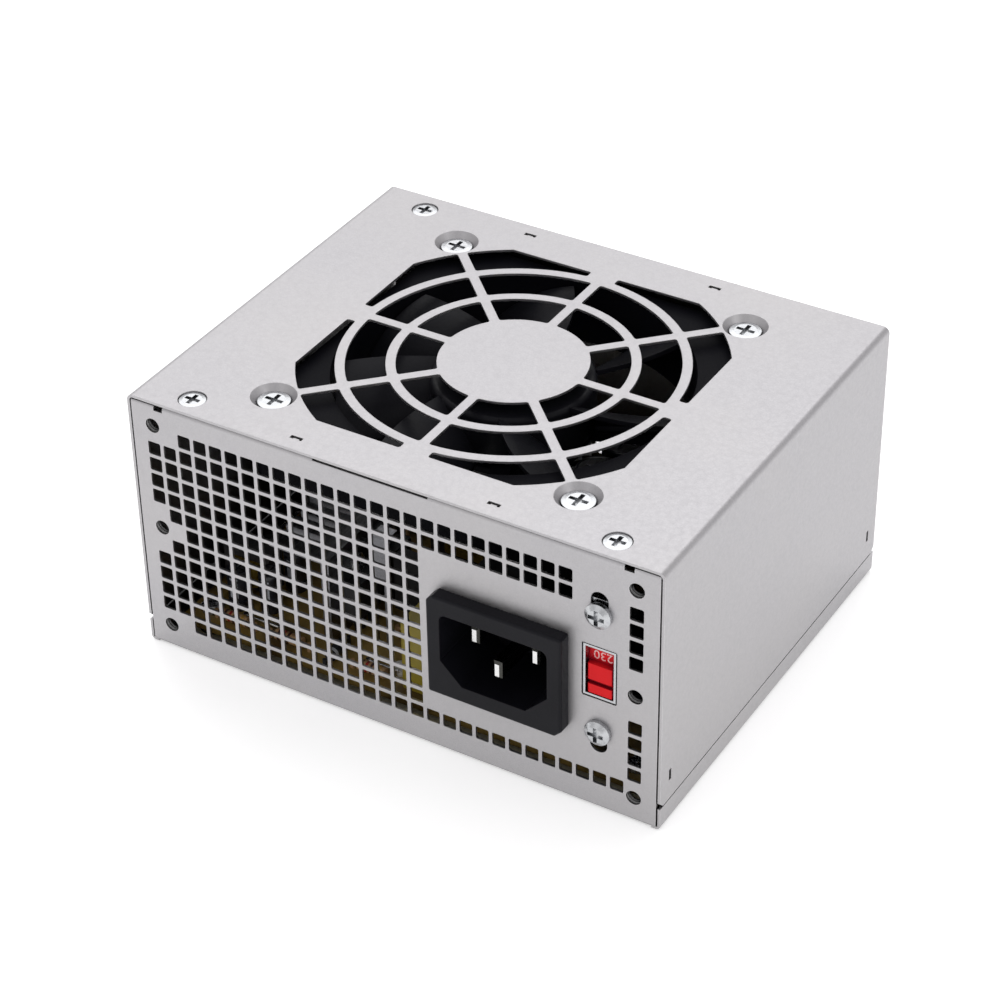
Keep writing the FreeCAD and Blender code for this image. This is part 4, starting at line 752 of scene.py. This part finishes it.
def make_bands():
    """Painted rings on the resistors and diodes."""
    rings = {band: Shape() for band in BAND_PAINTS}
    for name, marks in BANDS.items():
        radius = BAND_RADIUS[name]
        for low, high in solids_of(name):
            middle = (low + high) / 2
            axis = "X" if high.x - low.x > high.y - low.y else "Y"
            centre = (middle.x, middle.y, high.z - radius + BAND_STAND)
            for band, offset, width in marks:
                half = width * MM / 2
                profile = [(radius, offset * MM - half), (radius, offset * MM + half)]
                rings[band].lathe(centre, profile, axis, BAND_STEPS)
    for band, shape in rings.items():
        shape.piece(band, dipped_ceramic(band, *BAND_PAINTS[band]), "resistor_coat")


def bead_rows(number, foot, bead):
    """Rows of points over a lobed bead, from its foot to its top."""
    x, y, reach, height = bead
    rows = []
    for ring in range(GLUE_RINGS + 1):
        tilt = math.pi / 2 * ring / GLUE_RINGS
        row = []
        for step in range(GLUE_STEPS):
            angle = FULL_TURN * step / GLUE_STEPS
            swell = 1
            for lobes, size, shift in GLUE_LOBES:
                swell += size * math.sin(lobes * angle + shift * number)
            out = reach * MM * math.cos(tilt) * swell
            row.append((x + out * math.cos(angle), y + out * math.sin(angle),
                        foot + height * MM * math.sin(tilt)))
        rows.append(row)
    return rows


def make_glue(finishes):
    """Soft beads of white adhesive that steady the tall parts."""
    glue = Shape()
    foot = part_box("circuit_board")[1].z
    for number, bead in enumerate(GLUE_BEADS):
        glue.grid(bead_rows(number, foot, bead), True)
    glue.piece("adhesive_beads", finishes["white_plastic"], "white_plastic")


def thread_rows(x, z, radius, start):
    """Rows of points along a ridge that winds along Y inside a hole."""
    root = radius - THREAD_ROOT_STAND
    crest = radius - THREAD_DEPTH
    flat = THREAD_PITCH * THREAD_CREST_SHARE
    profile = [(root, -THREAD_PITCH * 0.5), (crest, -flat), (crest, flat), (root, THREAD_PITCH * 0.5)]
    rows = []
    for step in range(int(THREAD_TURNS * THREAD_STEPS) + 1):
        angle = FULL_TURN * step / THREAD_STEPS
        along = start + THREAD_PITCH * step / THREAD_STEPS
        rows.append([(x + reach * math.cos(angle), along + offset, z + reach * math.sin(angle))
                     for reach, offset in profile])
    return rows


def make_threads():
    """Screw threads in the six mounting collars of the front panel."""
    mounts = {mount["name"]: mount for mount in frame["record"]["mounts"]}
    corner = mounts["front_corner_holes"]
    _, front, middle_z = corner["pos_m"]
    half_x = corner["dims"]["spacing_x_mm"] * MM / 2
    half_z = corner["dims"]["spacing_y_mm"] * MM / 2
    radius = corner["dims"]["hole_r_mm"] * MM
    threads = Shape()
    for x in (-half_x, half_x):
        for z in (middle_z - half_z, middle_z, middle_z + half_z):
            threads.grid(thread_rows(x, z, radius, front + THREAD_START), False)
    threads.piece("mount_threads", cut_thread(), "galvanised_steel")


def make_numerals():
    """Voltage numbers printed on the slider's plate, above and below its thumb block."""
    low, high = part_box("selector_slider")
    middle = (low.x + high.x) / 2
    face = low.y + PLATE_RECESS
    for text, level in (("230", high.z - NUMERAL_ABOVE), ("115", low.z + NUMERAL_BELOW)):
        letters = bpy.data.curves.new("numeral_" + text, "FONT")
        letters.body = text
        letters.size = NUMERAL_HEIGHT
        letters.align_x = "CENTER"
        letters.align_y = "CENTER"
        letters.extrude = INK_THICKNESS
        letters.materials.append(printed_ink())
        piece = bpy.data.objects.new("numeral_" + text, letters)
        piece.rotation_euler = (math.radians(90), math.radians(180), 0)
        piece.location = (middle, face - INK_THICKNESS, level)
        bpy.context.scene.collection.objects.link(piece)
        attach(piece, "slider")


def make_floor():
    """The pale floor under the object."""
    mesh = bpy.data.meshes.new("studio_floor")
    reach = FLOOR_REACH / 2
    level = -FLOOR_DROP
    mesh.from_pydata([(-reach, -reach, level), (reach, -reach, level), (reach, reach, level),
                      (-reach, reach, level)], [], [(0, 1, 2, 3)])
    mesh.materials.append(floor_paper())
    floor = bpy.data.objects.new("studio_floor", mesh)
    bpy.context.scene.collection.objects.link(floor)


def main():
    """Build the picture around the CAD nodes."""
    make_camera()
    make_light()
    make_floor()
    finishes = make_finishes()
    dress_nodes(finishes)
    make_threads()
    make_numerals()
    make_capacitor_details(finishes)
    make_bands()
    make_glue(finishes)


main()
